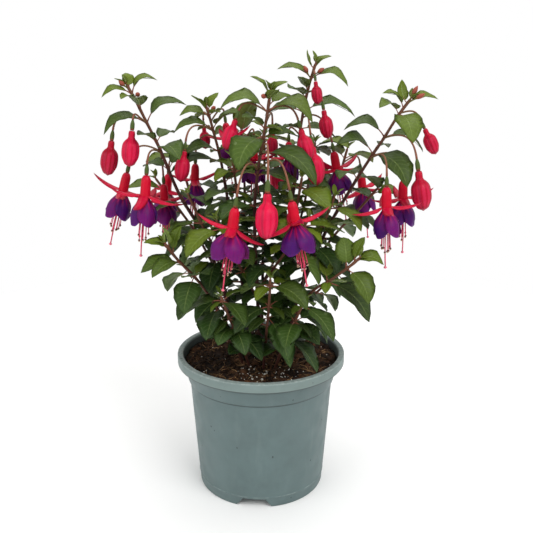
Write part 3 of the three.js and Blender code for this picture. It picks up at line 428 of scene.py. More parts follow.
def circle(columns):
    """Evenly spaced angles round a circle, and the point of the unit circle at each."""
    angles = np.arange(columns) * 2 * math.pi / columns
    return angles, np.stack([np.cos(angles), np.sin(angles)], -1)


def level(angle):
    """The level direction at an angle from the first axis."""
    return np.array([math.cos(angle), math.sin(angle), 0])


def spline(knots, steps):
    """A smooth curve through knots: on each span a cubic whose slopes are half the chord of its
    neighbours, with the end knots mirrored outwards. steps points are made for each span."""
    knots = np.asarray(knots, float)
    padded = np.vstack([2 * knots[0] - knots[1], knots, 2 * knots[-1] - knots[-2]])
    span = np.append(np.repeat(np.arange(len(knots) - 1), steps), len(knots) - 2)
    part = np.append(np.tile(np.arange(steps) / steps, len(knots) - 1), 1.0)[:, None]
    before, start, end, after = (padded[span + offset] for offset in range(4))
    leave, arrive = 0.5 * (end - before), 0.5 * (after - start)
    return (start + leave * part + (3 * (end - start) - 2 * leave - arrive) * part ** 2
            + (2 * (start - end) + leave + arrive) * part ** 3)


def table_curve(rings, shares):
    """The second column of a short table, read smoothly at shares of its first column."""
    fine = spline(rings, 16)
    return np.interp(shares, fine[:, 0], fine[:, 1])


def bezier(points, count):
    """A cubic curve from the first of four points to the last, pulled towards the two between."""
    share = np.linspace(0, 1, count)[:, None]
    start, leave, arrive, end = points
    return ((1 - share) ** 3 * start + 3 * (1 - share) ** 2 * share * leave
            + 3 * (1 - share) * share ** 2 * arrive + share ** 3 * end)


def noise(points, size, seed):
    """Smooth noise from -1 to 1 at each point: the mean of nine plane waves with seeded
    directions, all about `size` long."""
    draw = np.random.default_rng(seed)
    waves = unit(draw.normal(size=(9, 3))) * (2 * np.pi / size) * draw.uniform(0.6, 1.5, (9, 1))
    shift = draw.uniform(0, 2 * np.pi, 9)
    return np.sin(points @ waves.T + shift).mean(axis=-1) * 2


# Surfaces

class Skin:
    """Points, faces and named values at the points, gathered for one mesh."""

    def __init__(self):
        self.points = []
        self.faces = []
        self.values = {}
        self.count = 0

    def add(self, points, faces, **values):
        """Adds rings of points (millimetres) and lists of faces. Each named value is one number, a
        row for the points of every ring, or a column with a number for each ring."""
        shape = points.shape[:-1]
        self.points.append(points.reshape(-1, 3))
        self.faces.extend(face + self.count for face in faces)
        for name, value in values.items():
            self.values.setdefault(name, []).append(np.broadcast_to(value, shape).ravel())
        self.count += math.prod(shape)


def grid_faces(rows, columns, ends=False):
    """Four-sided faces between neighbouring rings of points. With ends, each end ring is closed
    by one face."""
    row = np.arange(rows - 1)[:, None] * columns
    column = np.arange(columns)
    beside = (column + 1) % columns
    quads = np.stack([row + column, row + beside, row + columns + beside, row + columns + column], -1)
    faces = [quads.reshape(-1, 4)]
    if ends:
        faces.append(column[None, ::-1])
        faces.append((column + (rows - 1) * columns)[None, :])
    return faces


def tube(path, radii, sides):
    """Rings round a path: point + radius (across cos turn + beside sin turn). Across starts from
    the direction that the path's tangents cover least, so it never turns over."""
    along = unit(np.gradient(path, axis=0))
    flattest = np.linalg.svd(along)[2][-1]
    across = unit(flattest - along * (along @ flattest)[:, None])
    beside = np.cross(along, across)
    around = circle(sides)[1]
    radii = np.broadcast_to(radii, len(path))
    rings = path[:, None] + radii[:, None, None] * (
        across[:, None] * around[:, :1] + beside[:, None] * around[:, 1:])
    return rings, grid_faces(len(path), sides, ends=True)


def lathe(depths, radii, sides, swell=1.0):
    """A profile turned about the downward axis: ring at -depth, radius times swell at each turn."""
    around = circle(sides)[1] * [1, -1]
    reach = radii[:, None] * np.broadcast_to(swell, sides)
    rings = np.stack([reach * around[:, 0], reach * around[:, 1], reach * 0 - depths[:, None]], -1)
    return rings, grid_faces(len(depths), sides, ends=True)


def sheet(upper, lower, across):
    """A thin closed solid from rows of points on its upper and lower side: its rings and faces,
    and round each ring the place across and 1 underneath."""
    rings = np.concatenate([upper, lower[:, -2:0:-1]], axis=1)
    section = np.concatenate([across, across[-2:0:-1]])
    under = np.arange(len(section)) >= len(across)
    return rings, grid_faces(len(rings), len(section), ends=True), section, under


def strip(middle, side, face, half, across, rise, thickness):
    """A thin leaf-like sheet. Top point = middle + side (across half) + face rise, and the underside
    is lower by thickness (1 - across to the fourth), less where the strip is narrow."""
    top = middle[:, None] + side * (half[:, None] * across)[..., None] + face[:, None] * rise[..., None]
    gap = thickness * (1 - across ** 4) * np.minimum(1, half / (half.max() * 0.25))[:, None]
    return sheet(top, top - face[:, None] * gap[..., None], across)


def new_mesh(name, skin):
    """The mesh of a skin, in metres, with its values as attributes of the points."""
    mesh = bpy.data.meshes.new(name)
    faces = [face for group in skin.faces for face in group.tolist()]
    mesh.from_pydata((np.concatenate(skin.points) * MM).tolist(), [], faces)
    for value_name, values in skin.values.items():
        attribute = mesh.attributes.new(value_name, "FLOAT", "POINT")
        attribute.data.foreach_set("value", np.concatenate(values).astype(np.float32))
    return mesh


def new_object(name, data):
    """An object in the scene that shows the data."""
    made = bpy.data.objects.new(name, data)
    bpy.context.scene.collection.objects.link(made)
    return made


def mesh_piece(name, skin, material, slot, *nodes):
    """Makes the object of a skin, smooth, riding on the plant and standing for solid nodes."""
    mesh = new_mesh(name, skin)
    mesh.shade_smooth()
    mesh.materials.append(material)
    mesh.validate()
    piece = new_object(name, mesh)
    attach(piece, "root")
    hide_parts(*nodes)
    return piece


# The plant's own lines, as the solids have them

SWINGS = [[0, 0], [9, 0], [-9, 0], [0, -10], [0, 10], [18, -6], [-18, -6], [14, 12], [-14, 12],
          [28, 0], [-28, 0], [10, -22], [-10, -22], [40, -10], [-40, -10], [24, 24], [-24, 24],
          [0, -36], [0, 34]]


class Stem:
    """A woody stem as its solid has it: a line with two points to each span of the smooth curve,
    rings of four points, and leaves. A branch starts on the first stem's line at its fork."""

    def __init__(self, row, trunk, clear):
        self.radius, fork, (low, high, spacing, self.leaf_length), path = row
        self.path = path if trunk is None else [trunk.at(fork)[0], *path]
        self.line = spline(self.path, 2)
        self.leaves = []
        heights = [low + pair * spacing for pair in range(int((high - low) // spacing) + 1)]
        self.pairs = [height for height in heights if all(abs(node - height) > NODE_GAP for node in clear)]
        self.make_rings(list(dict.fromkeys(clear + self.pairs)))

    def at(self, height):
        """The point of the line at a height, and the line's direction there."""
        index = 1
        while index < len(self.line) - 1 and self.line[index][2] < height:
            index += 1
        below, above = self.line[index - 1], self.line[index]
        share = min(max((height - below[2]) / (above[2] - below[2]), 0), 1)
        return below + (above - below) * share, unit(above - below)

    def radius_at(self, height):
        """The radius at a height or heights, which goes evenly from the start to the tip."""
        share = (height - self.line[0][2]) / (self.line[-1][2] - self.line[0][2])
        return self.radius + (STEM_TIP_RADIUS - self.radius) * share

    def make_rings(self, nodes):
        """Makes a ring at each step of the line that is clear of the nodes, two at each node and the
        tip. Their across direction is carried from ring to ring."""
        low, high = self.line[0][2], self.line[-1][2]
        stations = [(height, None) for height in self.line[:, 2]
                    if height == low or all(abs(height - node) > STEP_CLEAR for node in nodes)]
        for node in nodes:
            stations += [(node - NODE_HALF, node), (node + NODE_HALF, None)]
        stations = sorted((station for station in stations if station[0] <= high),
                          key=lambda station: station[0])
        radii = [self.radius_at(height) for height, _ in stations] + [0]
        path = [self.at(height)[0] for height, _ in stations]
        path.append(path[-1] + GROWING_TIP * self.at(high)[1])
        self.nodes = [node for _, node in stations]
        self.rings = []
        across = np.array([1.0, 0.0, 0.0])
        for index, point in enumerate(path):
            along = unit(path[min(index + 1, len(path) - 1)] - path[max(index - 1, 0)])
            if abs(across @ along) > 0.95:
                across = np.array([0.0, 1.0, 0.0])
            across = unit(across - along * (across @ along))
            beside = np.cross(along, across)
            self.rings.append(point + radii[index] * np.array([across, beside, -across, -beside]))

    def faces_at(self, node):
        """The four faces round a node: index and side as the key, middle and outward direction."""
        index = self.nodes.index(node)
        ring, following = self.rings[index], self.rings[index + 1]
        centre = (ring.sum(axis=0) + following.sum(axis=0)) / 8
        faces = []
        for side in range(4):
            beside = (side + 1) % 4
            middle = (ring[side] + ring[beside] + following[beside] + following[side]) / 4
            faces.append({"key": (index, side), "middle": middle, "outward": unit(middle - centre)})
        return faces

    def free_faces(self, node):
        """The faces round a node that carry no leaf."""
        taken = {leaf["key"] for leaf in self.leaves}
        return [face for face in self.faces_at(node) if face["key"] not in taken]

    def add_clear_leaf(self, points, height, tip, width, arch):
        """Puts a leaf that stands clear on the free face that looks most towards its tip."""
        tip = np.array(tip, float)
        face = max(self.free_faces(height), key=lambda face: unit(tip - face["middle"]) @ face["outward"])
        leaf = {"base": face["middle"], "tip": tip, "width": CLEAR_WIDTH * width, "arch": arch,
                "roll": CLEAR_ROLL * unit(tip - face["middle"])[0], "key": face["key"], "height": height}
        self.leaves += found_leaf(leaf, points)

    def add_pairs(self, points, first_seed):
        """Puts the leaf pairs on opposite faces, each pair a quarter turn from the last."""
        for pair, height in enumerate(self.pairs):
            along = self.at(height)[1]
            for twin, face in enumerate(self.faces_at(height)[pair % 2::2]):
                leaf = pair_leaf(face, along, height, self.leaf_length, first_seed + 10 * pair + twin)
                self.leaves += [held_up(leaf) for leaf in found_leaf(leaf, points)]


def swung_tips(base, tip):
    """The tips that a leaf may have: its chord turned about the vertical and tilted."""
    chord = tip - base
    reach = np.linalg.norm(chord)
    turn, tilt = np.radians(SWINGS).T
    limit = math.radians(STEEPEST_CHORD)
    heading = math.atan2(chord[1], chord[0]) + turn
    rise = np.clip(math.atan2(chord[2], math.hypot(chord[0], chord[1])) + tilt, -limit, limit)
    directions = [np.cos(rise) * np.cos(heading), np.cos(rise) * np.sin(heading), np.sin(rise)]
    return base + reach * np.stack(directions, -1)


def pair_leaf(face, along, height, length, seed):
    """A leaf of a pair: it leaves its face outwards and forwards, and hangs more the lower it is."""
    draw = [chance(seed, salt) for salt in range(1, 7)]
    droop = PAIR_DROOP - PAIR_DROOP_PER_HEIGHT * (height - PAIR_START_HEIGHT)
    droop = droop + PAIR_DROOP_RANGE * (draw[1] - 0.5)
    heading = turned(face["outward"], along, math.radians(PAIR_TURN * (draw[0] - 0.5)))
    heading = unit(heading + PAIR_FORWARD * along - droop * UP)
    size = length * within(PAIR_SIZE, draw[2])
    return {"base": face["middle"], "tip": face["middle"] + heading * size,
            "width": size * within(PAIR_WIDTH, draw[3]), "arch": size * within(PAIR_ARCH, draw[4]),
            "roll": PAIR_ROLL * (draw[5] - 0.5), "key": face["key"], "height": height}


def solid_points(node):
    """The points of a solid node, in millimetres."""
    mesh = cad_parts[node].data
    points = np.zeros(3 * len(mesh.vertices), np.float32)
    mesh.vertices.foreach_get("co", points)
    return points.reshape(-1, 3) / MM


def found_leaf(leaf, points):
    """A list of the leaf as the solid has it: with the first of its possible tips that is a point
    of the solid. The list is empty for a leaf that found no room there."""
    tips = [tip for tip in swung_tips(leaf["base"], leaf["tip"])
            if np.abs(points - tip).max(axis=1).min() < FOUND_WITHIN]
    return [{**leaf, "tip": tip} for tip in tips[:1]]


def held_up(leaf):
    """A low leaf is held up, shorter than its solid, so that it doesn't lie on the soil."""
    if leaf["base"][2] > LOW_LEAF_HEIGHT:
        return leaf
    chord = LOW_LEAF_SHARE * (leaf["tip"] - leaf["base"])
    chord[2] = max(chord[2], LOW_LEAF_RISE * np.hypot(*chord[:2]))
    return {**leaf, "tip": leaf["base"] + chord, "width": LOW_LEAF_WIDTH * leaf["width"]}


def grown_shoots():
    """The stems of every shoot with their leaves, as the solids have them."""
    shoots = {}
    for shoot, (name, rows) in enumerate(SHOOTS.items()):
        points = solid_points(f"shoot_{name}")
        clear_leaves = CLEAR_LEAVES.get(name, [])
        stems = []
        for index, row in enumerate(rows):
            clear = [leaf[1] for leaf in clear_leaves if leaf[0] == index]
            stems.append(Stem(row, stems[0] if stems else None, clear))
        for index, *leaf in clear_leaves:
            stems[index].add_clear_leaf(points, *leaf)
        for index, stem in enumerate(stems):
            stem.add_pairs(points, 1000 * shoot + 300 * index)
        shoots[name] = stems
    return shoots


# Leaves and wood

def leaf_midline(leaf, share):
    """Points base + chord share + lift arch 4 share (1 - share), with the side and face directions."""
    chord = leaf["tip"] - leaf["base"]
    along = unit(chord)
    lift = unit(UP - along * along[2])
    side = turned(np.cross(along, lift), along, math.radians(leaf["roll"]))
    share = share[:, None]
    middle = leaf["base"] + chord * share + lift * leaf["arch"] * 4 * share * (1 - share)
    return middle, side, unit(np.cross(side, chord + lift * leaf["arch"] * 4 * (1 - 2 * share)))


def add_leaf(skin, leaf, tone, young, sizes):
    """A blade folded along its midrib, half as wide at blade share b as 1.33 width b^0.62 (1-b)^0.88,
    with small teeth and waved edges, on a round stalk that runs on underneath as the midrib."""
    blade, across = BLADE_STATIONS, BLADE_ACROSS
    half = 1.33 * leaf["width"] * blade ** 0.62 * np.maximum(1 - blade, 0.0008) ** 0.88
    half[1:-1:2] *= 1 - sizes.tooth_depth
    half[2:-1:2] *= 1 + sizes.tooth_depth
    fold = math.radians(FOLD_ANGLE)
    wave = np.sin(blade[:, None] * (9 + 5 * tone) + 3 * np.sign(across) + 20 * tone) * across ** 4
    rise = half[:, None] * (np.sqrt(across ** 2 + 0.01) * math.sin(fold) + BLADE_WAVE * wave - 0.05)
    line = leaf_midline(leaf, STALK_SHARE + (1 - STALK_SHARE) * blade)
    thickness = sizes.blade_thickness / MM
    rings, faces, section, under = strip(*line, half * math.cos(fold), across, rise, thickness)
    skin.add(rings, faces, along=blade[:, None], across=section, under=under, tone=tone, young=young,
             stalk=0)
    shares = np.array(MIDRIB_STATIONS)
    middle, _, face = leaf_midline(leaf, shares)
    drop = np.interp(shares, *MIDRIB_DROPS)
    skin.add(*tube(middle - face * drop[:, None], MIDRIB_RADII, 4), along=np.clip(shares, 0, 1)[:, None],
             across=0, under=1, tone=tone, young=young, stalk=1)


def side_leaves(stem, first_seed):
    """The small leaves of the short shoots in the axils: one on each face of a node without a leaf,
    in the middle of the bush and clear of the flowers."""
    leaves = []
    for index, height in enumerate(node for node in stem.nodes if node is not None):
        for twin, face in enumerate(stem.free_faces(height)):
            seed = first_seed + 10 * index + twin
            length = SIDE_LEAF_LENGTH * (0.6 + 0.6 * chance(seed, 7))
            leaf = pair_leaf(face, stem.at(height)[1], height, length, seed)
            inside = SIDE_LEAF_HEIGHTS[0] < height < SIDE_LEAF_HEIGHTS[1]
            if inside and abs(face["middle"][0]) <= SIDE_LEAF_REACH and clear_of_flowers(leaf):
                leaves.append({**leaf, "height": height + YOUNGER_BY})
    return leaves


def clear_of_flowers(leaf):
    """Whether a leaf's midline stays outside the barrel that each flower fills round its axis."""
    points = leaf_midline(leaf, np.linspace(0.3, 1, 6))[0]
    for flowers, length in [(BLOOMS, TUBE_LENGTH + COROLLA_HEIGHT), (BUDS, BUD_RINGS[-1][0])]:
        for flower in flowers.values():
            away = points - flower.end
            depth = away @ flower.axis
            reach = np.linalg.norm(away - depth[:, None] * flower.axis, axis=1)
            within = (depth > 0) & (depth < flower.size * (OVARY_LENGTH + length) + FLOWER_ROOM)
            if (within & (reach < flower.size * FLOWER_RADIUS + FLOWER_ROOM)).any():
                return False
    return True


def tuft_leaves(stem, first_seed):
    """The youngest leaves round a growing tip: they stand up and spread a little."""
    end = stem.line[-1]
    along = unit(end - stem.line[-2])
    base = end + 0.6 * along
    leaves = []
    for index in range(TUFT_LEAVES):
        outward = turned(unit(np.cross(along, [0.3, 1.0, 0.1])), along, math.pi * (0.5 * index + 0.2))
        size = TUFT_LEAF_LENGTH * (0.8 + 0.5 * chance(first_seed + index, 3))
        tip = base + size * unit(along * (1.1 - 0.35 * (index % 2)) + TUFT_SPREAD * outward)
        leaves.append({"base": base, "tip": tip, "width": TUFT_LEAF_WIDTH * size,
                       "arch": TUFT_LEAF_ARCH * size, "roll": 0, "height": end[2] + YOUNGER_BY})
    return leaves


def leaf_youth_and_sunlight(height, top):
    """From 0 on old wood to 1 at the growing tip, which is at the height `top`. Leaves between the
    SUNLIT_HEIGHTS get at least a share up to SUNLIT_YOUTH: painted light that makes the upper leaves
    lighter and yellower.
    """
    age = np.clip((height - top + YOUNG_LENGTH) / YOUNG_LENGTH, 0, 1) ** 1.3
    age = age * np.interp(height, OLD_WOOD_HEIGHTS, [0.15, 1])
    # Painted light: the upper leaves are lightened by height.
    return max(age, np.interp(height, SUNLIT_HEIGHTS, [0, SUNLIT_YOUTH]))


def add_stem(skin, stem):
    """A round stem along the smooth curve, swollen a little at its nodes, ending in a small tip."""
    path = spline(stem.path, 7)
    heights = path[:, 2]
    radii = ROUND_STEM_SHARE * stem.radius_at(heights) + ROUND_STEM_GAIN * np.linspace(0, 1, len(path))
    for node in stem.nodes:
        if node is not None:
            radii = radii + NODE_SWELL * np.exp(-((heights - node) / NODE_SWELL_LENGTH) ** 2)
    path = np.vstack([path, path[-1] + GROWING_TIP * unit(path[-1] - path[-2])])
    age = np.clip((path[:, 2:] - path[-1, 2] + RED_WOOD_LENGTH) / RED_WOOD_LENGTH, 0, 1)
    tone = chance(int(stem.path[-1][0]) + 500, 9)
    skin.add(*tube(path, np.append(radii, STEM_END_RADIUS), 9), kind=0, age=age, tone=tone)


def add_flower_stalk(skin, stem, flower):
    """A thin stalk along a cubic curve that leaves its stem outwards and ends along the flower's
    axis, then the ovary: a spindle whose radius follows the solid's rings."""
    end, axis, size = flower.end, flower.axis, flower.size
    tone = size % 0.07 * 10
    point, along = stem.at(flower.height)
    away = end - point
    reach = np.linalg.norm(away)
    leave = point + 0.45 * (away - UP * away[2]) + 0.25 * reach * along
    shares = np.linspace(0, 1, STALK_STATIONS)
    path = bezier([point, leave, end - axis * 0.5 * reach, end], STALK_STATIONS)
    skin.add(*tube(path, STALK_RADIUS + 0.25 * shares ** 8, 7), kind=1, age=shares[:, None], tone=tone)
    shares = np.linspace(0, 1, 9)
    path = end + axis * (OVARY_LENGTH * size * shares)[:, None]
    radii = size * np.interp(shares, *OVARY_RINGS)
    skin.add(*tube(path, radii, 10), kind=2, age=shares[:, None], tone=tone)


def add_tip_bud(skin, point, tip):
    """One of the smallest buds: a stalk that swells into a pointed green-red bud at its end."""
    shares = TIP_BUD_STATIONS[:, None]
    radii = np.interp(TIP_BUD_STATIONS, *TIP_BUD_RINGS)
    skin.add(*tube(point + (tip - point) * shares, radii, 8), kind=3, age=shares, tone=0.5)


# Flowers

class Flower:
    """A bloom or a large bud: its shoot and stem, the height and end of its stalk, the way it leans,
    its size, how far it is spun, and what its form needs besides."""

    def __init__(self, shoot, stem, height, end, lean, size, spin, *form):
        self.shoot, self.stem, self.height, self.size, self.form = shoot, stem, height, size, form
        self.end = np.array(end, float)
        self.axis = unit([*lean, -1])
        self.spin = math.radians(spin)
        self.seed = int(end[0]) + 300

    def hang(self, skin, points, faces, **values):
        """Adds a surface made below the origin: spun about the downward axis, sized, turned from
        straight down to the flower's axis and moved to the ovary's end."""
        cross = np.cross(-UP, self.axis)
        skew = np.array([[0, -cross[2], cross[1]], [cross[2], 0, -cross[0]], [-cross[1], cross[0], 0]])
        turn = np.eye(3) + skew + skew @ skew / (1 - UP @ self.axis)
        turn = turn @ turns([self.spin], 0, 1)[0]
        place = self.end + self.axis * (OVARY_LENGTH * self.size + CLEARANCE)
        skin.add(place + self.size * points @ turn.T, faces, **values)


BLOOMS = {name: Flower(*row) for name, row in BLOOM_ROWS.items()}
BUDS = {name: Flower(*row[:6], BUD_SPIN, row[6]) for name, row in BUD_ROWS.items()}


def add_sepal(skin, bloom, quarter, lift):
    """A tapering strip: it leaves the tube outwards at its lift, dips and curls up by share cubed,
    is as wide as the solid's rings say, and its edges stand up a little."""
    share = np.linspace(0, 1, SEPAL_STATIONS)
    outward = level(math.radians(90 * quarter))
    side = level(math.radians(90 * quarter - 90))
    reach = (SEPAL_LENGTH - SEPAL_ROOT) * share
    bend = SEPAL_CURL * share ** 3 - SEPAL_DIP * share * (1 - share)
    away = SEPAL_ROOT + reach * math.cos(math.radians(lift))
    height = SEPAL_ROOT - TUBE_LENGTH + reach * math.sin(math.radians(lift)) + bend
    middle = outward * away[:, None] + UP * height[:, None]
    face = np.cross(side, unit(np.gradient(middle, axis=0)))
    half = np.maximum(table_curve(SEPAL_RINGS, share), 0.05)
    cup = SEPAL_CUP * np.clip(share / 0.25, 0.35, 1)[:, None]
    rise = half[:, None] * (SEPAL_CROWN - cup * SEPAL_ACROSS ** 2) + 0.4
    rings, faces, section, _ = strip(middle, side, face, half, SEPAL_ACROSS, rise, SEPAL_THICKNESS)
    bloom.hang(skin, rings, faces, kind=0, along=share[:, None], across=np.abs(section))


def bead(start, length, radius, sides, fullness=0.86, power=1.0, stations=6):
    """A small closed bead round the downward axis: radius times a power of a sine along it. Gives
    the share of its length at each ring, the rings and the faces."""
    share = np.linspace(0, 1, stations)
    radii = radius * np.sin(np.pi * (0.08 + fullness * share)) ** power
    return share[:, None], *lathe(start + length * share, radii, sides)


def calyx_skin(bloom):
    """Tube, four sepals, stamens and the style of one bloom."""
    skin = Skin()
    share = np.linspace(0, 1, 15)
    groove = np.cos(4 * circle(TUBE_SIDES)[0])
    rings, faces = lathe(TUBE_LENGTH * share, table_curve(TUBE_RINGS, share), TUBE_SIDES,
                         1 + 0.03 * np.abs(groove))
    bloom.hang(skin, rings, faces, kind=0, along=-share[:, None], across=0.5 * groove)
    for quarter, lift in enumerate(bloom.form[0]):
        add_sepal(skin, bloom, quarter, lift)
    for index in range(STAMENS):
        add_stamen(skin, bloom, index)
    share = np.linspace(0, 1, 9)
    depths = TUBE_LENGTH - 1 + (COROLLA_HEIGHT + STYLE_DROP + 1) * share
    sway = 0.9 * np.sin(2.4 * share)
    path = np.stack([sway, -0.5 * sway, -depths], -1)
    bloom.hang(skin, *tube(path, STYLE_RADIUS, 6), kind=1, along=share[:, None], across=0)
    _, rings, faces = bead(depths[-1] - 0.6, 2.2, 1.45, 8, power=0.7, stations=7)
    bloom.hang(skin, rings + path[-1] * [1, 1, 0], faces, kind=3, along=1, across=0)
    return skin


def add_stamen(skin, bloom, index):
    """A filament that hangs out of the corolla, further out and longer by turns, with its anther."""
    draw = chance(index + bloom.seed, 31)
    drop = (TUBE_LENGTH + COROLLA_HEIGHT + STAMEN_DROP
            + STAMEN_SPREAD * (((index * 3) % 4) / 3 - 0.4 * draw))
    share = np.linspace(0, 1, 8)
    reach = FILAMENT_START + (within(FILAMENT_REACH, draw) - FILAMENT_START) * share ** 0.6
    depth = TUBE_LENGTH - 1 + (drop - TUBE_LENGTH - 0.6) * share
    path = level(2 * math.pi * (index + 0.5) / STAMENS) * reach[:, None] - UP * depth[:, None]
    bloom.hang(skin, *tube(path, FILAMENT_RADIUS, 5), kind=1, along=share[:, None], across=0)
    share, rings, faces = bead(drop - 2, 2.6, 1.0, 6, fullness=0.84)
    bloom.hang(skin, rings * [1, 0.75, 1] + path[-1] * [1, 1, 0], faces, kind=2, along=share, across=0)


def corolla_skin(bloom):
    """Four petals that lap over each other like a skirt. A petal at u across, from -1 to 1, and d
    down stands at radius r (1 - step u + puff sin(pi d)(1 - u^2) + flare d^2), so its first edge
    lies over its neighbour's last, and its hem rises by (d u)^2 to each side like a round lobe."""
    hem = bloom.form[1] / bloom.size
    skin = Skin()
    drop = np.linspace(0, 1, PETAL_STATIONS)[:, None]
    across = np.linspace(-1, 1, PETAL_COLUMNS)
    reach = table_curve([[0, COROLLA_TOP_RADIUS], [0.45, COROLLA_BULGE * hem], [1, hem]], drop)
    thickness = within(PETAL_THICKNESS, np.sqrt(1 - np.abs(across))) * (1 - 0.5 * drop)
    for petal in range(4):
        draw = [chance(petal + 7 * salt, bloom.seed) for salt in range(4)]
        turn = math.pi / 2 * (petal + 0.5) + across * math.pi / 4 * within(PETAL_LAP, drop ** 2)
        step = PETAL_STEP * across * np.minimum(1, 3 * drop)
        puff = PETAL_PUFF * np.sin(math.pi * drop) * (1 - across ** 2)
        ripple = PETAL_RIPPLE * drop ** 3 * np.sin(6 * across + 6.3 * draw[0])
        flare = within(PETAL_FLARE, draw[1]) * drop ** 2
        radius = reach * (1 - step + puff + ripple + flare)
        lobe = 1 - PETAL_SCALLOP * (drop * across) ** 2 - PETAL_SHORTENING * draw[2]
        depth = TUBE_LENGTH + 2 * CLEARANCE + COROLLA_HEIGHT * drop * lobe
        outward = np.stack([np.cos(turn), np.sin(turn), 0 * turn], -1)
        outer = radius[..., None] * outward - UP * depth[..., None]
        rings, faces, section, under = sheet(outer, outer - outward * thickness[..., None], across)
        bloom.hang(skin, rings, [face[:, ::-1] for face in faces], along=drop, across=section,
                   inside=under, tone=draw[3])
    return skin


def bud_skin(bud):
    """A barrel through the solid's rings with a small point, four sharp seams where |sin 2 turn| is
    highest and fine pleats by |sin 6 turn|."""
    tip_depths, tip_radii = BUD_POINT
    depths = np.concatenate([np.linspace(0, 27, 22), tip_depths])
    radii = table_curve(BUD_RINGS, depths)
    radii[-len(tip_radii):] = tip_radii
    turn = circle(BUD_SIDES)[0]
    seam = np.abs(np.sin(2 * turn)) ** 12
    pleat = np.abs(np.sin(6 * turn))
    body = np.clip((depths - 8) / 5, 0, 1)[:, None]
    narrowed = 1 - body * (BUD_SEAM * seam + BUD_PLEAT * pleat)
    rings, faces = lathe(depths, radii, BUD_SIDES)
    rings[..., :2] *= narrowed[..., None]
    skin = Skin()
    bud.hang(skin, rings, faces, along=depths[:, None] / 30, seam=seam, pleat=pleat,
             tone=bud.form[0])
    return skin


# Pot and soil

def rounded(profile, size, steps=4):
    """A profile with its corners rounded: each corner becomes a short curve that starts and ends
    `size` from it, or under half of a side from it where the side is short."""
    points = [profile[0]]
    share = np.linspace(0, 1, steps)[:, None]
    for before, corner, after in zip(profile[:-2], profile[1:-1], profile[2:]):
        start, end = (corner + unit(other - corner) * min(size, 0.45 * np.linalg.norm(other - corner))
                      for other in (before, after))
        points.extend((1 - share) ** 2 * start + 2 * share * (1 - share) * corner + share ** 2 * end)
    points.append(profile[-1])
    return np.array(points)


def notch_height(turn):
    """How far the foot's edge is cut up at each turn: a flat-topped bay with slanted sides."""
    away = turn[:, None] - np.radians(NOTCH_ANGLES)
    nearest = FOOT_RADIUS * np.abs((away + math.pi) % (2 * math.pi) - math.pi).min(axis=1)
    slope = (0.5 * NOTCH_WIDTH - nearest) / (0.5 * (NOTCH_WIDTH - NOTCH_TOP_WIDTH))
    return NOTCH_HEIGHT * np.clip(slope, 0, 1)


def pot_turns():
    """Evenly spaced turns with three more at each corner of each notch."""
    half_widths = 0.5 * np.array([NOTCH_WIDTH, NOTCH_TOP_WIDTH, -NOTCH_WIDTH, -NOTCH_TOP_WIDTH])
    corners = np.radians(NOTCH_ANGLES)[:, None] + half_widths / FOOT_RADIUS
    corners = corners[..., None] + [-0.004, 0, 0.004]
    angles = np.concatenate([circle(POT_COLUMNS)[0], corners.ravel() % (2 * math.pi)])
    angles = np.unique(np.round(angles, 5))
    return angles[np.append(np.diff(angles) > 0.003, True)]


def pot_skin(sizes):
    """The pot's profile, rounded and turned about the axis. The outer wall and the inside of the rim
    have stations between their ends. In the foot, a height h below the floor becomes
    cut + (floor - cut) h / floor, where cut is the notch's height."""
    profile = np.vstack([UNDERSIDE, np.linspace(*OUTER_WALL, 9), RIM, np.linspace(*INNER_WALL[:2], 5),
                         INNER_WALL[2:], POT_FLOOR])
    profile = rounded(profile, sizes.edge_radius / MM)
    radius, height = profile.T[..., None]
    angles = pot_turns()
    cut = notch_height(angles)
    foot = (radius > FOOT_INSIDE) & (height < FLOOR_UNDERSIDE)
    share = np.clip(height / FLOOR_UNDERSIDE, 0, 1)
    height = np.where(foot, cut + (FLOOR_UNDERSIDE - cut) * share, np.maximum(height, 0))
    rings = np.stack([radius * np.cos(angles), radius * np.sin(angles), height], -1)
    rings[[0, -1], :, :2] = 0
    skin = Skin()
    skin.add(rings, grid_faces(len(profile), len(angles)))
    return skin


def close_centres(piece):
    """Merges the rings that lie on the axis into single points."""
    piece.modifiers.new("centres", "WELD").merge_threshold = CENTRE_WELD
    apply_modifiers(piece)


def drill_pot(piece):
    """Cuts the drain holes through the raised floor with round cutters."""
    skin = Skin()
    for hole in range(DRAIN_HOLES):
        centre = DRAIN_RING_RADIUS * level(math.radians(360 / DRAIN_HOLES * hole + DRAIN_FIRST_ANGLE))
        skin.add(*tube(centre + UP * np.array(DRILL_HEIGHTS), DRAIN_HOLE_RADIUS, 20))
    cutter = new_object("drain cutters", new_mesh("drain cutters", skin))
    drill = piece.modifiers.new("drain holes", "BOOLEAN")
    drill.object = cutter
    drill.solver = "EXACT"
    bpy.context.view_layer.update()
    apply_modifiers(piece)
    bpy.data.objects.remove(cutter)
    piece.data.shade_smooth()


def apply_modifiers(piece):
    """Replaces the object's mesh by the result of its modifiers."""
    graph = bpy.context.evaluated_depsgraph_get()
    made = bpy.data.meshes.new_from_object(piece.evaluated_get(graph))
    piece.modifiers.clear()
    piece.data = made


def soil_top(x, y):
    """Height of the soil's surface: a low mound, with bumps in three sizes and small grit, each
    given by its size, seed and height."""
    points = np.stack([x, y, np.zeros_like(x)], -1)
    bumps = sum(height * noise(points, size, seed) for size, seed, height in SOIL_WAVES)
    return SOIL_EDGE_HEIGHT + SOIL_MOUND * (1 - np.hypot(x, y) / SOIL_MOUND_RADIUS) + bumps


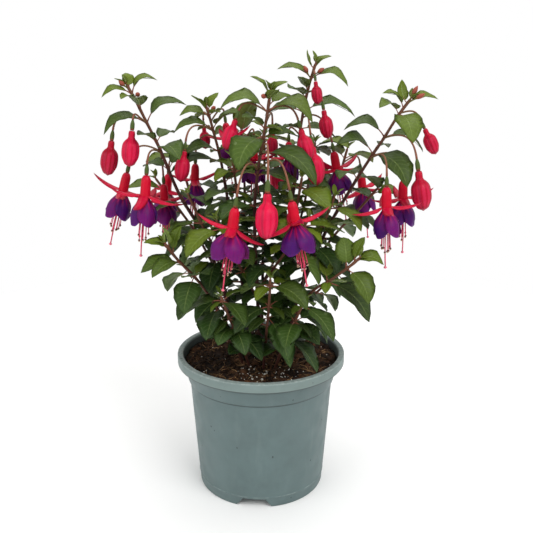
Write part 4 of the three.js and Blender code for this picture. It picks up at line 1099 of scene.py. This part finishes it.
def soil_skin():
    """The soil: a rough top in rings, closed by the wall and floor of the pot that hold it."""
    around = circle(SOIL_COLUMNS)[1]
    top = np.append(0.01, np.linspace(1.5, SOIL_RADIUS, 46))[:, None, None] * around
    top = np.dstack([top, soil_top(top[..., 0], top[..., 1])])
    heights = np.array(SOIL_SIDE_HEIGHTS)
    inner_radii, inner_heights = np.array(INNER_WALL[::-1]).T
    wall = np.interp(heights, inner_heights, inner_radii) - SOIL_WALL_GAP
    side = np.dstack([wall[:, None, None] * around, np.tile(heights[:, None], SOIL_COLUMNS)])
    side[0, :, 2] = np.minimum(top[-1, :, 2] - 0.3, SOIL_SIDE_TOP)
    rings = np.concatenate([top, side])
    quads, _, base = grid_faces(len(rings), SOIL_COLUMNS, ends=True)
    skin = Skin()
    skin.add(rings, [quads[:, ::-1], base[:, ::-1]], kind=0, tone=0.5)
    return skin


def add_crumbs(skin, count, seed, kind, sizes, flatness, place=(0, 0), spread=CRUMB_SPREAD):
    """Loose bits on the soil: boxes squashed at random, turned about the vertical by up to half a
    turn and tilted twice by less, half sunk in it."""
    draw = np.random.default_rng(seed)
    reach = spread * np.sqrt(draw.uniform(0, 1, count))
    angle = draw.uniform(0, 2 * math.pi, count)
    x, y = place[0] + reach * np.cos(angle), place[1] + reach * np.sin(angle)
    half = 0.5 * draw.uniform(*sizes, count)[:, None] * np.ones(3)
    half[:, 1] *= draw.uniform(0.35, 0.9, count)
    half[:, 2] *= flatness * draw.uniform(0.6, 1.3, count)
    spin, pitch, roll = draw.uniform(-1, 1, (count, 3)).T
    turn = turns(spin * math.pi, 0, 1) @ turns(pitch * CRUMB_TILT, 2, 0) @ turns(roll * CRUMB_TILT, 1, 2)
    jitter = draw.uniform(0.65, 1.1, (count, 8, 1))
    points = (CRUMB_CORNERS * jitter * half[:, None]) @ turn.transpose(0, 2, 1)
    points += np.stack([x, y, soil_top(x, y) + half[:, 2] * 0.7], -1)[:, None]
    faces = (np.arange(count)[:, None, None] * 8 + CRUMB_SIDES).reshape(-1, 4)
    skin.add(points, [faces], kind=kind, tone=draw.uniform(0, 1, count)[:, None])


def add_fibres(skin, count, seed):
    """Thin bent fibres that lie on the soil."""
    draw = np.random.default_rng(seed)
    for _ in range(count):
        start = FIBRE_SPREAD * math.sqrt(draw.uniform()) * level(draw.uniform(0, 2 * math.pi))
        heading = draw.uniform(0, 2 * math.pi) + np.linspace(0, draw.uniform(-1.4, 1.4), 6)
        step = draw.uniform(4, 13) / 6
        x = start[0] + np.cumsum(step * np.cos(heading))
        y = start[1] + np.cumsum(step * np.sin(heading))
        scale = np.minimum(1, FIBRE_LIMIT / np.maximum(np.hypot(x, y), 1))
        x, y = x * scale, y * scale
        z = soil_top(x, y) + 0.3 + draw.uniform(0, 0.9) * np.sin(np.linspace(0, np.pi, 6))
        radius = draw.uniform(0.14, 0.34)
        skin.add(*tube(np.stack([x, y, z], -1), radius, 4), kind=2, tone=draw.uniform())


# Materials

def linear(red, green, blue):
    """A colour given by screen values from 0 to 255, as linear light."""
    values = np.array([red, green, blue]) / 255
    return tuple(np.where(values < 0.04045, values / 12.92, ((values + 0.055) / 1.055) ** 2.4)) + (1.0,)


class Value:
    """An output of a node. Each sum, difference, product or the like adds the node that makes it."""

    def __init__(self, graph, socket):
        self.graph = graph
        self.socket = socket

    def maths(self, operation, other=0.0):
        """The result of a math node with this value first."""
        return self.graph.add("ShaderNodeMath", {0: self, 1: other}, operation=operation)

    def __add__(self, other):
        return self.maths("ADD", other)

    def __sub__(self, other):
        return self.maths("SUBTRACT", other)

    def __mul__(self, other):
        return self.maths("MULTIPLY", other)

    def __pow__(self, other):
        return self.maths("POWER", other)

    def __lt__(self, other):
        return self.maths("LESS_THAN", other)

    def __abs__(self):
        return self.maths("ABSOLUTE")

    def stripes(self):
        """Stripes one apart, as straight slopes between 0 and 0.5."""
        return self.maths("PINGPONG", 0.5)

    def span(self, low, high, to_low=0.0, to_high=1.0):
        """Maps values from low to high onto to_low to to_high along a soft step."""
        inputs = {"Value": self, 1: low, 2: high, 3: to_low, 4: to_high}
        return self.graph.add("ShaderNodeMapRange", inputs, interpolation_type="SMOOTHSTEP")


class Graph:
    """A node tree that is being built for its owner: a material, a world or a node group."""

    def __init__(self, owner, tree):
        self.owner = owner
        self.tree = tree
        tree.nodes.clear()

    def add(self, kind, inputs=None, outputs=(0,), **settings):
        """Adds a node, sets its settings, links or sets each input that is named or numbered, and
        gives the one output or the list of outputs that is asked for."""
        node = self.tree.nodes.new(kind)
        for name, value in settings.items():
            setattr(node, name, value)
        for key, value in (inputs or {}).items():
            if isinstance(value, Value):
                self.tree.links.new(value.socket, node.inputs[key])
            else:
                node.inputs[key].default_value = value
        values = [Value(self, node.outputs[key]) for key in outputs]
        return values[0] if len(values) == 1 else values

    def values(self, *names):
        """The named values at the mesh's points."""
        return [self.add("ShaderNodeAttribute", None, ["Fac"], attribute_name=name) for name in names]

    def place(self, scale=None):
        """The point of the object, in metres, or its coordinates times a scale."""
        place = self.add("ShaderNodeTexCoord", None, ["Object"])
        return self.add("ShaderNodeMapping", {"Vector": place, "Scale": scale}) if scale else place

    def mix(self, factor, first, second, blend="MIX"):
        """A mix of two colours."""
        inputs = {0: factor, 6: first, 7: second}
        return self.add("ShaderNodeMix", inputs, [2], data_type="RGBA", blend_type=blend)

    def by_kind(self, kind, first, *others):
        """The first colour where the kind is 0, the next where it is 1, and so on."""
        for index, other in enumerate(others):
            first = self.mix(kind.span(index + 0.4, index + 0.6), first, other)
        return first

    def noise(self, scale, detail=3.0, stretch=None):
        """Noise from 0 to 1 in the object's space."""
        inputs = {"Scale": scale, "Detail": detail, "Vector": self.place(stretch)}
        return self.add("ShaderNodeTexNoise", inputs, ["Fac"])

    def drift(self, colour, scale, amount):
        """The colour through the shared drift effect."""
        inputs = {"Color": colour, "Scale": scale, "Amount": amount}
        return self.add("ShaderNodeGroup", inputs, node_tree=shared("Colour drift"))

    def specks(self, scale, size, share):
        """The mask of the shared speck effect."""
        inputs = {"Scale": scale, "Size": size, "Share": share}
        return self.add("ShaderNodeGroup", inputs, node_tree=shared("Specks"))

    def finish(self, colour, roughness, **more):
        """Ends a material with its shader, and gives the material."""
        inputs = {"Base Color": colour, "Roughness": roughness}
        inputs.update((name.replace("_", " "), value) for name, value in more.items())
        shader = self.add("ShaderNodeBsdfPrincipled", inputs)
        self.add("ShaderNodeOutputMaterial", {"Surface": shader}, [])
        return self.owner

    def bump(self, height, distance, strength):
        """A normal that is tilted by a height."""
        inputs = {"Height": height, "Distance": distance, "Strength": strength}
        return self.add("ShaderNodeBump", inputs)


def new_group(name, inputs, output):
    """The graph of a new node group, and its inputs."""
    tree = bpy.data.node_groups.new(name, "ShaderNodeTree")
    for socket, side in [*((socket, "INPUT") for socket in inputs), (output, "OUTPUT")]:
        kind = "NodeSocketColor" if socket == "Color" else "NodeSocketFloat"
        tree.interface.new_socket(socket, in_out=side, socket_type=kind)
    graph = Graph(tree, tree)
    return graph, graph.add("NodeGroupInput", None, range(len(inputs)))


def drift_group():
    """Shared effect: a colour that drifts towards darker and lighter by slow and fine noise."""
    graph, (colour, scale, amount) = new_group("Colour drift", ["Color", "Scale", "Amount"], "Color")
    push = graph.noise(scale, 2.0) * 0.65 + graph.noise(scale * 5.3, 4.0) * 0.35 - 0.5
    lit = push * (amount * 4.0) + 1.0
    grey = graph.add("ShaderNodeCombineColor", {0: lit, 1: lit, 2: lit})
    graph.add("NodeGroupOutput", {0: graph.mix(1.0, colour, grey, "MULTIPLY")}, [])
    return graph.owner


def speck_group():
    """Shared effect: a mask of small round specks, one in some cells of a cell pattern."""
    graph, (scale, size, share) = new_group("Specks", ["Scale", "Size", "Share"], "Mask")
    inputs = {"Vector": graph.place(), "Scale": scale}
    distance, cell = graph.add("ShaderNodeTexVoronoi", inputs, ["Distance", "Color"])
    chosen, large = graph.add("ShaderNodeSeparateColor", {0: cell}, [0, 1])
    near = distance < size * (large + 0.3)
    graph.add("NodeGroupOutput", {0: near * (chosen < share)}, [])
    return graph.owner


def shared(name):
    """One of the shared node groups, made when it is first asked for."""
    makers = {"Colour drift": drift_group, "Specks": speck_group}
    return bpy.data.node_groups.get(name) or makers[name]()


def new_material(name):
    """The graph of a new material."""
    material = bpy.data.materials.new(name)
    material.use_nodes = True
    return Graph(material, material.node_tree)


def painted_rim_shade(graph, height):
    """A mask of painted shade: on the collar under the rim's lip and on the rim's inside above the soil,
    along the lower edge of its band and under the shoulder."""
    flat = graph.place((1.0, 1.0, 0.0))
    reach = graph.add("ShaderNodeVectorMath", {0: flat}, ["Value"], operation="LENGTH")
    lip = height.span(0.1126, 0.1152, 0.0, 0.8) * reach.span(0.0738, 0.0744, 1.0, 0.0)
    lip = lip * height.span(0.1225, 0.1235, 1.0, 0.0)
    edge = abs(height - 0.1166).span(0.0004, 0.0013, 0.85, 0.0)
    shoulder = abs(height - 0.0999).span(0.0002, 0.0011, 0.62, 0.0)
    return lip.maths("MAXIMUM", edge).maths("MAXIMUM", shoulder)


def pot_material(settings):
    """Moulded plastic: a slow grey-green mottle, faint scuffs round the wall, painted shade under the lip,
    along its lower edge and under the shoulder, wear and a painted highlight on the lip's top edge, a pale
    line above the foot, dark specks and pits."""
    graph = new_material("pot plastic")
    height = graph.add("ShaderNodeSeparateXYZ", {0: graph.place()}, [2])
    colour = graph.mix(height.span(0.113, 0.118), settings.wall_colour, settings.rim_colour)
    colour = graph.drift(colour, 34.0, 0.16)
    scuff = graph.noise(110.0, 6.0, (1.0, 1.0, 0.22)).span(0.52, 0.72, 0.0, settings.scuffs)
    colour = graph.mix(scuff, colour, linear(124, 140, 138))
    # Painted shade: darkens the collar under the lip, the rim's inside, the lip's lower edge and the
    # shoulder line.
    colour = graph.mix(painted_rim_shade(graph, height), colour, linear(30, 38, 38))
    # The lip's top edge is lightened in patches: partly wear, partly a painted highlight.
    lip = height.span(0.1234, 0.1248) * graph.noise(420.0, 5.0).span(0.36, 0.64, 0.12, 0.42)
    line = abs(height - 0.0098).span(0.0, 0.0006, 1.0, 0.0)
    line = line * graph.noise(120.0).span(0.4, 0.62, 0.0, 0.36)
    colour = graph.mix(lip.maths("MAXIMUM", line), colour, linear(176, 186, 182))
    small = graph.specks(300.0, 0.26, settings.specks)
    specks = small.maths("MAXIMUM", graph.specks(115.0, 0.16, settings.specks))
    colour = graph.mix(specks * 0.62, colour, linear(38, 46, 46))
    rough = graph.noise(90.0, 4.0).span(0.3, 0.7, 0.42, 0.58)
    normal = graph.bump(graph.noise(900.0) * 0.35 - specks, 0.0002, 0.5)
    return graph.finish(colour, rough, Normal=normal, Specular_IOR_Level=0.45)


def soil_material(settings):
    """Potting mix by kind: 0 fine soil, 1 bark, 2 fibres, 3 perlite. Damp patches darken it."""
    graph = new_material("potting mix")
    kind, tone = graph.values("kind", "tone")
    fine = graph.mix(graph.noise(420.0, 5.0).span(0.42, 0.66), settings.soil_colour, linear(78, 54, 38))
    fine = graph.mix(graph.noise(75.0).span(0.47, 0.6) * 0.6, fine, linear(92, 64, 44))
    fine = graph.mix(graph.specks(700.0, 0.4, 0.2), fine, linear(24, 17, 13))
    bark = graph.mix(tone, linear(34, 22, 15), linear(96, 64, 42))
    fibre = graph.mix(tone, linear(86, 58, 36), linear(186, 148, 104))
    perlite = graph.mix(tone, linear(206, 203, 194), linear(240, 238, 230))
    colour = graph.by_kind(kind, fine, bark, fibre, perlite)
    damp = graph.noise(34.0, 4.0).span(0.44, 0.6, 0.0, 0.72) * kind.span(2.4, 2.6, 1.0, 0.0)
    colour = graph.drift(graph.mix(damp, colour, linear(16, 11, 8)), 160.0, 0.3)
    normal = graph.bump(graph.noise(1500.0, 4.0), 0.0006, 0.7)
    return graph.finish(colour, 0.92, Normal=normal, Specular_IOR_Level=0.2)


def leaf_material(settings):
    """Leaf green that drifts from leaf to leaf, pale midrib and side veins that curve to the tip, painted
    shade midway between the side veins, yellower leaves at the growing tips, upper leaves painted lighter
    and yellower as if lit, a paler underside and a reddish stalk."""
    graph = new_material("leaf")
    along, across, under, tone = graph.values("along", "across", "under", "tone")
    young, stalk = graph.values("young", "stalk")
    colour = graph.mix(tone, settings.dark_leaf_colour, settings.leaf_colour)
    # Mixed towards the tip colour by youth and, as painted light, by height on the upper leaves.
    colour = graph.mix(young, colour, settings.young_and_sunlit_leaf_colour)
    away = abs(across)
    line = (along * 8.5 - away ** 1.25 * 2.1).stripes()
    side_vein = line.span(0.0, 0.085, 1.0, 0.0) * away.span(0.45, 0.98, 1.0, 0.0)
    veins = away.span(0.02, 0.085, 1.0, 0.0).maths("MAXIMUM", side_vein * 0.62)
    colour = graph.mix(veins * settings.veins, colour, linear(128, 147, 80))
    # Painted shade: the blade is darkened midway between the side veins.
    colour = graph.mix(line.span(0.1, 0.5, 0.0, 0.16), colour, linear(34, 53, 19))
    colour = graph.mix(under * 0.8, colour, graph.mix(0.42, colour, linear(133, 151, 98)))
    stalk_colour = graph.mix(along.span(0.1, 0.45, 1.0, 0.0), linear(140, 158, 96), linear(140, 82, 66))
    colour = graph.drift(graph.mix(stalk, colour, stalk_colour), 120.0, 0.14)
    rough = graph.noise(200.0).span(0.3, 0.7, 0.4, 0.56)
    normal = graph.bump(graph.noise(900.0, 2.0) * 0.25 - veins, 0.0004, 0.6)
    return graph.finish(colour, rough, Normal=normal, Specular_IOR_Level=0.24)


def wood_material(settings):
    """Stems by kind: 0 wood that is browner when old, 1 flower stalks, 2 ovaries, 3 smallest buds."""
    graph = new_material("stems")
    kind, age = graph.values("kind", "age")
    wood = graph.mix(age.span(0.2, 1.0), settings.stem_colour, linear(104, 66, 48))
    stalk = graph.mix(age, linear(112, 88, 56), linear(134, 84, 66))
    ovary = graph.mix(age.span(0.72, 1.0), linear(72, 88, 40), linear(136, 44, 44))
    bud = graph.mix(age.span(0.45, 0.65), linear(112, 112, 54), linear(150, 76, 62))
    colour = graph.drift(graph.by_kind(kind, wood, stalk, ovary, bud), 260.0, 0.24)
    normal = graph.bump(graph.noise(1400.0, 4.0, (1.0, 1.0, 0.2)), 0.0003, 0.4)
    return graph.finish(colour, 0.55, Normal=normal, Specular_IOR_Level=0.2)


def calyx_material(settings):
    """By kind: 0 waxy red tube and sepals with fine lengthwise lines and darker tips, 1 filaments,
    2 anthers, 3 stigma."""
    graph = new_material("calyx")
    kind, along, across = graph.values("kind", "along", "across")
    red = graph.mix(along.span(-0.3, 0.3), settings.tube_colour, settings.sepal_colour)
    red = graph.mix(along.span(0.62, 1.0, 0.0, 0.75), red, linear(132, 14, 40))
    red = graph.mix(across.span(0.6, 1.0) * 0.25, red, linear(226, 62, 84))
    lines = (across * 3.4).stripes()
    red = graph.mix(lines.span(0.0, 0.2, 0.2, 0.0), red, linear(170, 10, 36))
    anther = graph.mix(along.span(0.35, 0.8), linear(84, 34, 44), linear(196, 160, 132))
    colour = graph.by_kind(kind, red, linear(214, 70, 100), anther, linear(232, 120, 140))
    colour = graph.drift(colour, 170.0, 0.12)
    normal = graph.bump(graph.noise(1100.0, 2.0) * 0.3 + lines, 0.0002, 0.4)
    return graph.finish(colour, 0.36, Normal=normal, Specular_IOR_Level=0.16)


def corolla_material(settings):
    """Satin violet petals, red-pink streaked at the base, with darker veins that fan to the hem."""
    graph = new_material("corolla")
    along, across, inside, tone = graph.values("along", "across", "inside", "tone")
    violet = graph.mix(tone, settings.corolla_colour, settings.glow_colour)
    glow = graph.noise(75.0, 2.0).span(0.48, 0.68, 0.0, 0.55)
    violet = graph.mix(glow, violet, settings.glow_colour)
    streak = (across * 2.2).stripes().span(0.0, 0.3, 1.0, 0.1)
    colour = graph.mix(along.span(0.06, 0.5, 1.0, 0.0) * streak, violet, linear(190, 24, 84))
    veins = (across * 4.5).stripes()
    colour = graph.mix(veins.span(0.0, 0.16, 0.3, 0.0), colour, linear(66, 12, 96))
    colour = graph.mix(along.span(0.9, 1.0, 0.0, 0.3), colour, linear(120, 40, 150))
    colour = graph.mix(inside * 0.5, colour, linear(120, 16, 96))
    colour = graph.drift(colour, 130.0, 0.16)
    normal = graph.bump(veins + graph.noise(700.0, 2.0) * 0.4, 0.00025, 0.5)
    return graph.finish(colour, 0.46, Normal=normal, Specular_IOR_Level=0.14, Subsurface_Weight=0.1,
                        Subsurface_Scale=0.002)


def bud_material(settings):
    """Waxy crimson with a lighter neck and darker seams."""
    graph = new_material("bud")
    along, seam, pleat, tone = graph.values("along", "seam", "pleat", "tone")
    pleat = pleat * along.span(0.24, 0.42)
    crimson = graph.mix(tone, settings.bud_colour, settings.rose_bud_colour)
    colour = graph.mix(along.span(0.06, 0.3, 0.5, 0.0), crimson, linear(186, 26, 52))
    colour = graph.mix(along.span(0.8, 1.0, 0.0, 0.7), colour, linear(104, 22, 28))
    colour = graph.mix(pleat.span(0.1, 0.9, 0.0, 0.36), colour, linear(220, 52, 92))
    colour = graph.mix(seam.span(0.3, 1.0, 0.0, 0.42), colour, linear(108, 6, 32))
    colour = graph.drift(colour, 150.0, 0.14)
    normal = graph.bump(graph.noise(900.0, 2.0) * 0.3 - seam, 0.0003, 0.5)
    return graph.finish(colour, 0.34, Normal=normal, Specular_IOR_Level=0.13)


# What a user may change

def colour_setting(name, description, red, green, blue):
    """A colour that a user may change."""
    return bpy.props.FloatVectorProperty(name=name, description=description, subtype="COLOR", size=4,
                                         min=0, max=1, default=linear(red, green, blue))


def share_setting(name, description, default, most=1):
    """A share, from none to the most that it may be."""
    return bpy.props.FloatProperty(name=name, description=description, default=default, min=0, max=most,
                                   subtype="FACTOR")


def length_setting(name, description, default, least, most):
    """A small length in metres."""
    return bpy.props.FloatProperty(name=name, description=description, default=default, min=least,
                                   max=most, unit="LENGTH", precision=4)


def count_setting(name, description, default, most):
    """A number of like bits."""
    return bpy.props.IntProperty(name=name, description=description, default=default, min=0, max=most)


class PotSettings(bpy.types.PropertyGroup):
    edge_radius: length_setting(
        "Edge radius", "Rounding of the rim's, shoulder's and foot's edges", 0.0009, 0.0001, 0.003)
    specks: share_setting("Specks", "Share of the surface pattern's cells with a dark speck", 0.014)
    scuffs: share_setting("Scuffs", "Strength of the pale scuffs", 0.1)
    wall_colour: colour_setting("Wall", "Colour of the wall", 86, 104, 104)
    rim_colour: colour_setting("Rim", "Colour of the rim band", 106, 122, 119)


class SoilSettings(bpy.types.PropertyGroup):
    bark: count_setting("Bark", "Number of bark chips", 260, 1500)
    fibres: count_setting("Fibres", "Number of fibres", 320, 800)
    perlite: count_setting("Perlite", "Number of white grains on the whole soil", 45, 500)
    soil_colour: colour_setting("Soil", "Colour of the fine soil", 30, 21, 15)


class LeafSettings(bpy.types.PropertyGroup):
    blade_thickness: length_setting(
        "Blade thickness", "Thickness of a leaf at its midrib", 0.0005, 0.0002, 0.0012)
    tooth_depth: share_setting("Teeth", "Depth of the teeth, as a share of the leaf's width", 0.03, 0.1)
    veins: share_setting("Veins", "Strength of the pale veins", 0.3)
    leaf_colour: colour_setting("Leaf", "Colour of the lighter leaves", 52, 79, 28)
    dark_leaf_colour: colour_setting("Dark leaf", "Colour of the darker leaves", 30, 52, 19)
    # Also the colour that the upper leaves are painted towards as if lit.
    young_and_sunlit_leaf_colour: colour_setting("Young leaf", "Colour of the leaves at the tips", 98, 115, 20)
    stem_colour: colour_setting("Stem", "Colour of the old wood", 66, 36, 31)


class FlowerSettings(bpy.types.PropertyGroup):
    tube_colour: colour_setting("Tube", "Colour of the flower's tube", 194, 10, 42)
    sepal_colour: colour_setting("Sepals", "Colour of the sepals", 188, 9, 52)
    corolla_colour: colour_setting("Corolla", "Colour of the petals", 58, 11, 92)
    glow_colour: colour_setting("Glow", "Redder colour that the petals drift towards", 106, 14, 98)
    bud_colour: colour_setting("Bud", "Colour of the darker large buds", 146, 6, 30)
    rose_bud_colour: colour_setting("Rose bud", "Colour of the paler large buds", 206, 14, 60)


class StageSettings(bpy.types.PropertyGroup):
    light_power: bpy.props.FloatProperty(
        name="Light", description="Power of the large soft light", default=14, min=1, max=300, unit="POWER")
    floor_colour: colour_setting("Floor", "Colour of the floor and backdrop", 251, 251, 250)


# Operators

class Maker:
    """What the operators share: each makes its pieces from the settings that its holder names."""

    def execute(self, context):
        self.make(getattr(context.scene, self.holder))
        return {"FINISHED"}


class MakePot(Maker, bpy.types.Operator):
    """Make the nursery pot"""
    bl_idname = "fuchsia.make_pot"
    bl_label = "Make pot"
    holder = "fuchsia_pot"

    def make(self, settings):
        piece = mesh_piece("nursery_pot", pot_skin(settings), pot_material(settings), "pot", "pot")
        close_centres(piece)
        drill_pot(piece)


class MakeSoil(Maker, bpy.types.Operator):
    """Make the potting mix"""
    bl_idname = "fuchsia.make_soil"
    bl_label = "Make soil"
    holder = "fuchsia_soil"

    def make(self, settings):
        skin = soil_skin()
        bark, perlite = settings.bark, settings.perlite
        add_crumbs(skin, bark, 11, 1, (1.8, 6.5), 0.35)
        add_crumbs(skin, 3 * bark, 12, 1, (0.7, 2.2), 0.8)
        add_crumbs(skin, perlite, 13, 3, (0.6, 1.5), 0.9)
        add_crumbs(skin, perlite, 15, 3, (0.6, 1.7), 0.9, (-8, -42), 15)
        add_crumbs(skin, perlite // 2, 16, 3, (0.5, 1.3), 0.9, (22, -34), 12)
        add_fibres(skin, settings.fibres, 14)
        mesh_piece("potting_mix", skin, soil_material(settings), "soil", "soil")


class MakeStems(Maker, bpy.types.Operator):
    """Make the stems, flower stalks, ovaries and smallest buds"""
    bl_idname = "fuchsia.make_stems"
    bl_label = "Make stems"
    holder = "fuchsia_leaf"

    def make(self, settings):
        material = wood_material(settings)
        for name, stems in grown_shoots().items():
            skin = Skin()
            for stem in stems:
                add_stem(skin, stem)
            for flower in [*BLOOMS.values(), *BUDS.values()]:
                if flower.shoot == name:
                    add_flower_stalk(skin, stems[flower.stem], flower)
            for stem, height, tip in TIP_BUDS.get(name, []):
                add_tip_bud(skin, stems[stem].at(height)[0], np.array(tip, float))
            mesh_piece(f"wood_{name}", skin, material, "shoot", f"shoot_{name}")


class MakeLeaves(Maker, bpy.types.Operator):
    """Make the leaves of every shoot"""
    bl_idname = "fuchsia.make_leaves"
    bl_label = "Make leaves"
    holder = "fuchsia_leaf"

    def make(self, settings):
        material = leaf_material(settings)
        for number, (name, stems) in enumerate(grown_shoots().items()):
            leaves = [(leaf, stem) for stem in stems for leaf in stem.leaves]
            for index, stem in enumerate(stems):
                extra = side_leaves(stem, 5000 + 1000 * number + 300 * index)
                extra += tuft_leaves(stem, 9000 + 100 * number + 10 * index)
                leaves += [(leaf, stem) for leaf in extra]
            skin = Skin()
            for index, (leaf, stem) in enumerate(leaves):
                young = leaf_youth_and_sunlight(leaf["height"], stem.line[-1][2])
                add_leaf(skin, leaf, chance(number + 40, index), young, settings)
            mesh_piece(f"leaves_{name}", skin, material, "shoot", f"shoot_{name}")


class MakeCalyces(Maker, bpy.types.Operator):
    """Make the red tubes, sepals and stamens"""
    bl_idname = "fuchsia.make_calyces"
    bl_label = "Make calyces"
    holder = "fuchsia_flower"

    def make(self, settings):
        material = calyx_material(settings)
        for name, bloom in BLOOMS.items():
            mesh_piece(f"calyx_{name}", calyx_skin(bloom), material, "calyx", f"bloom_{name}_calyx")


class MakeCorollas(Maker, bpy.types.Operator):
    """Make the violet petals"""
    bl_idname = "fuchsia.make_corollas"
    bl_label = "Make corollas"
    holder = "fuchsia_flower"

    def make(self, settings):
        material = corolla_material(settings)
        for name, bloom in BLOOMS.items():
            mesh_piece(f"corolla_{name}", corolla_skin(bloom), material, "corolla", f"bloom_{name}_corolla")


class MakeBuds(Maker, bpy.types.Operator):
    """Make the large buds"""
    bl_idname = "fuchsia.make_buds"
    bl_label = "Make buds"
    holder = "fuchsia_flower"

    def make(self, settings):
        material = bud_material(settings)
        for name, bud in BUDS.items():
            mesh_piece(f"large_bud_{name}", bud_skin(bud), material, "bud", f"bud_{name}")


class MakeStage(Maker, bpy.types.Operator):
    """Make the floor, lights and camera"""
    bl_idname = "fuchsia.make_stage"
    bl_label = "Make stage"
    holder = "fuchsia_stage"

    def make(self, settings):
        make_floor(settings)
        for name, place, share in LIGHTS:
            make_light(name, place, share * settings.light_power)
        make_world()
        make_camera()


def make_floor(settings):
    """A large round floor: rings of points round the pot's axis, closed in the middle."""
    rings, (quads, middle, _) = lathe(np.zeros(len(FLOOR_RADII)), np.array(FLOOR_RADII), 48)
    skin = Skin()
    skin.add(rings, [quads[:, ::-1], middle[:, ::-1]])
    floor = new_object("floor", new_mesh("floor", skin))
    floor.data.materials.append(new_material("floor").finish(settings.floor_colour, 0.8))


def make_light(name, place, power):
    """A large square light that looks at the middle of the plant."""
    data = bpy.data.lights.new(name, "AREA")
    data.shape = "SQUARE"
    data.size = 1.0
    data.energy = power
    light = new_object(name, data)
    light.location = place
    direction = unit(np.array([0, 0, 0.2]) - np.array(place))
    yaw = math.atan2(direction[1], direction[0]) - math.pi / 2
    light.rotation_euler = (math.acos(-direction[2]), 0, yaw)


def make_world():
    """A white room: it lights the plant softly and is plain white where the camera looks at it."""
    world = bpy.data.worlds.new("studio")
    world.use_nodes = True
    graph = Graph(world, world.node_tree)
    seen = graph.add("ShaderNodeLightPath", None, ["Is Camera Ray"])
    strength = graph.add("ShaderNodeMapRange", {"Value": seen, 3: ROOM_LIGHT, 4: 1.0})
    background = graph.add("ShaderNodeBackground", {"Color": (1.0, 1.0, 1.0, 1.0), "Strength": strength})
    graph.add("ShaderNodeOutputWorld", {"Surface": background}, [])
    bpy.context.scene.world = world
    bpy.context.scene.view_settings.view_transform = "Standard"


def make_camera():
    """The photo's view."""
    data = bpy.data.cameras.new("camera")
    data.sensor_width = SENSOR_WIDTH
    data.lens = SENSOR_WIDTH * FOCAL_PIXELS / PHOTO_WIDTH
    camera = new_object("camera", data)
    camera.location = CAMERA_PLACE
    camera.rotation_euler = (math.radians(90 - CAMERA_PITCH), 0, 0)
    bpy.context.scene.camera = camera


class FuchsiaPanel(bpy.types.Panel):
    """Settings and operators of the potted fuchsia"""
    bl_idname = "VIEW3D_PT_fuchsia"
    bl_label = "Potted fuchsia"
    bl_space_type = "VIEW_3D"
    bl_region_type = "UI"
    bl_category = "Fuchsia"

    def draw(self, context):
        for holder in SETTINGS:
            box = self.layout.box()
            settings = getattr(context.scene, holder)
            for name in settings.__annotations__:
                box.prop(settings, name)
            for operator in OPERATORS:
                if operator.holder == holder:
                    box.operator(operator.bl_idname)


SETTINGS = {
    "fuchsia_pot": PotSettings, "fuchsia_soil": SoilSettings, "fuchsia_leaf": LeafSettings,
    "fuchsia_flower": FlowerSettings, "fuchsia_stage": StageSettings}
OPERATORS = [MakePot, MakeSoil, MakeStems, MakeLeaves, MakeCalyces, MakeCorollas, MakeBuds, MakeStage]
CLASSES = [*SETTINGS.values(), *OPERATORS, FuchsiaPanel]


def register():
    """Makes the settings, operators and panel known."""
    for item in CLASSES:
        bpy.utils.register_class(item)
    for holder, settings in SETTINGS.items():
        setattr(bpy.types.Scene, holder, bpy.props.PointerProperty(type=settings))


def unregister():
    """Takes the settings, operators and panel away."""
    for holder in SETTINGS:
        delattr(bpy.types.Scene, holder)
    for item in reversed(CLASSES):
        bpy.utils.unregister_class(item)


def main():
    """Makes every piece and the stage."""
    register()
    bpy.ops.fuchsia.make_pot()
    bpy.ops.fuchsia.make_soil()
    bpy.ops.fuchsia.make_stems()
    bpy.ops.fuchsia.make_leaves()
    bpy.ops.fuchsia.make_calyces()
    bpy.ops.fuchsia.make_corollas()
    bpy.ops.fuchsia.make_buds()
    bpy.ops.fuchsia.make_stage()


if __name__ == "__main__":
    main()
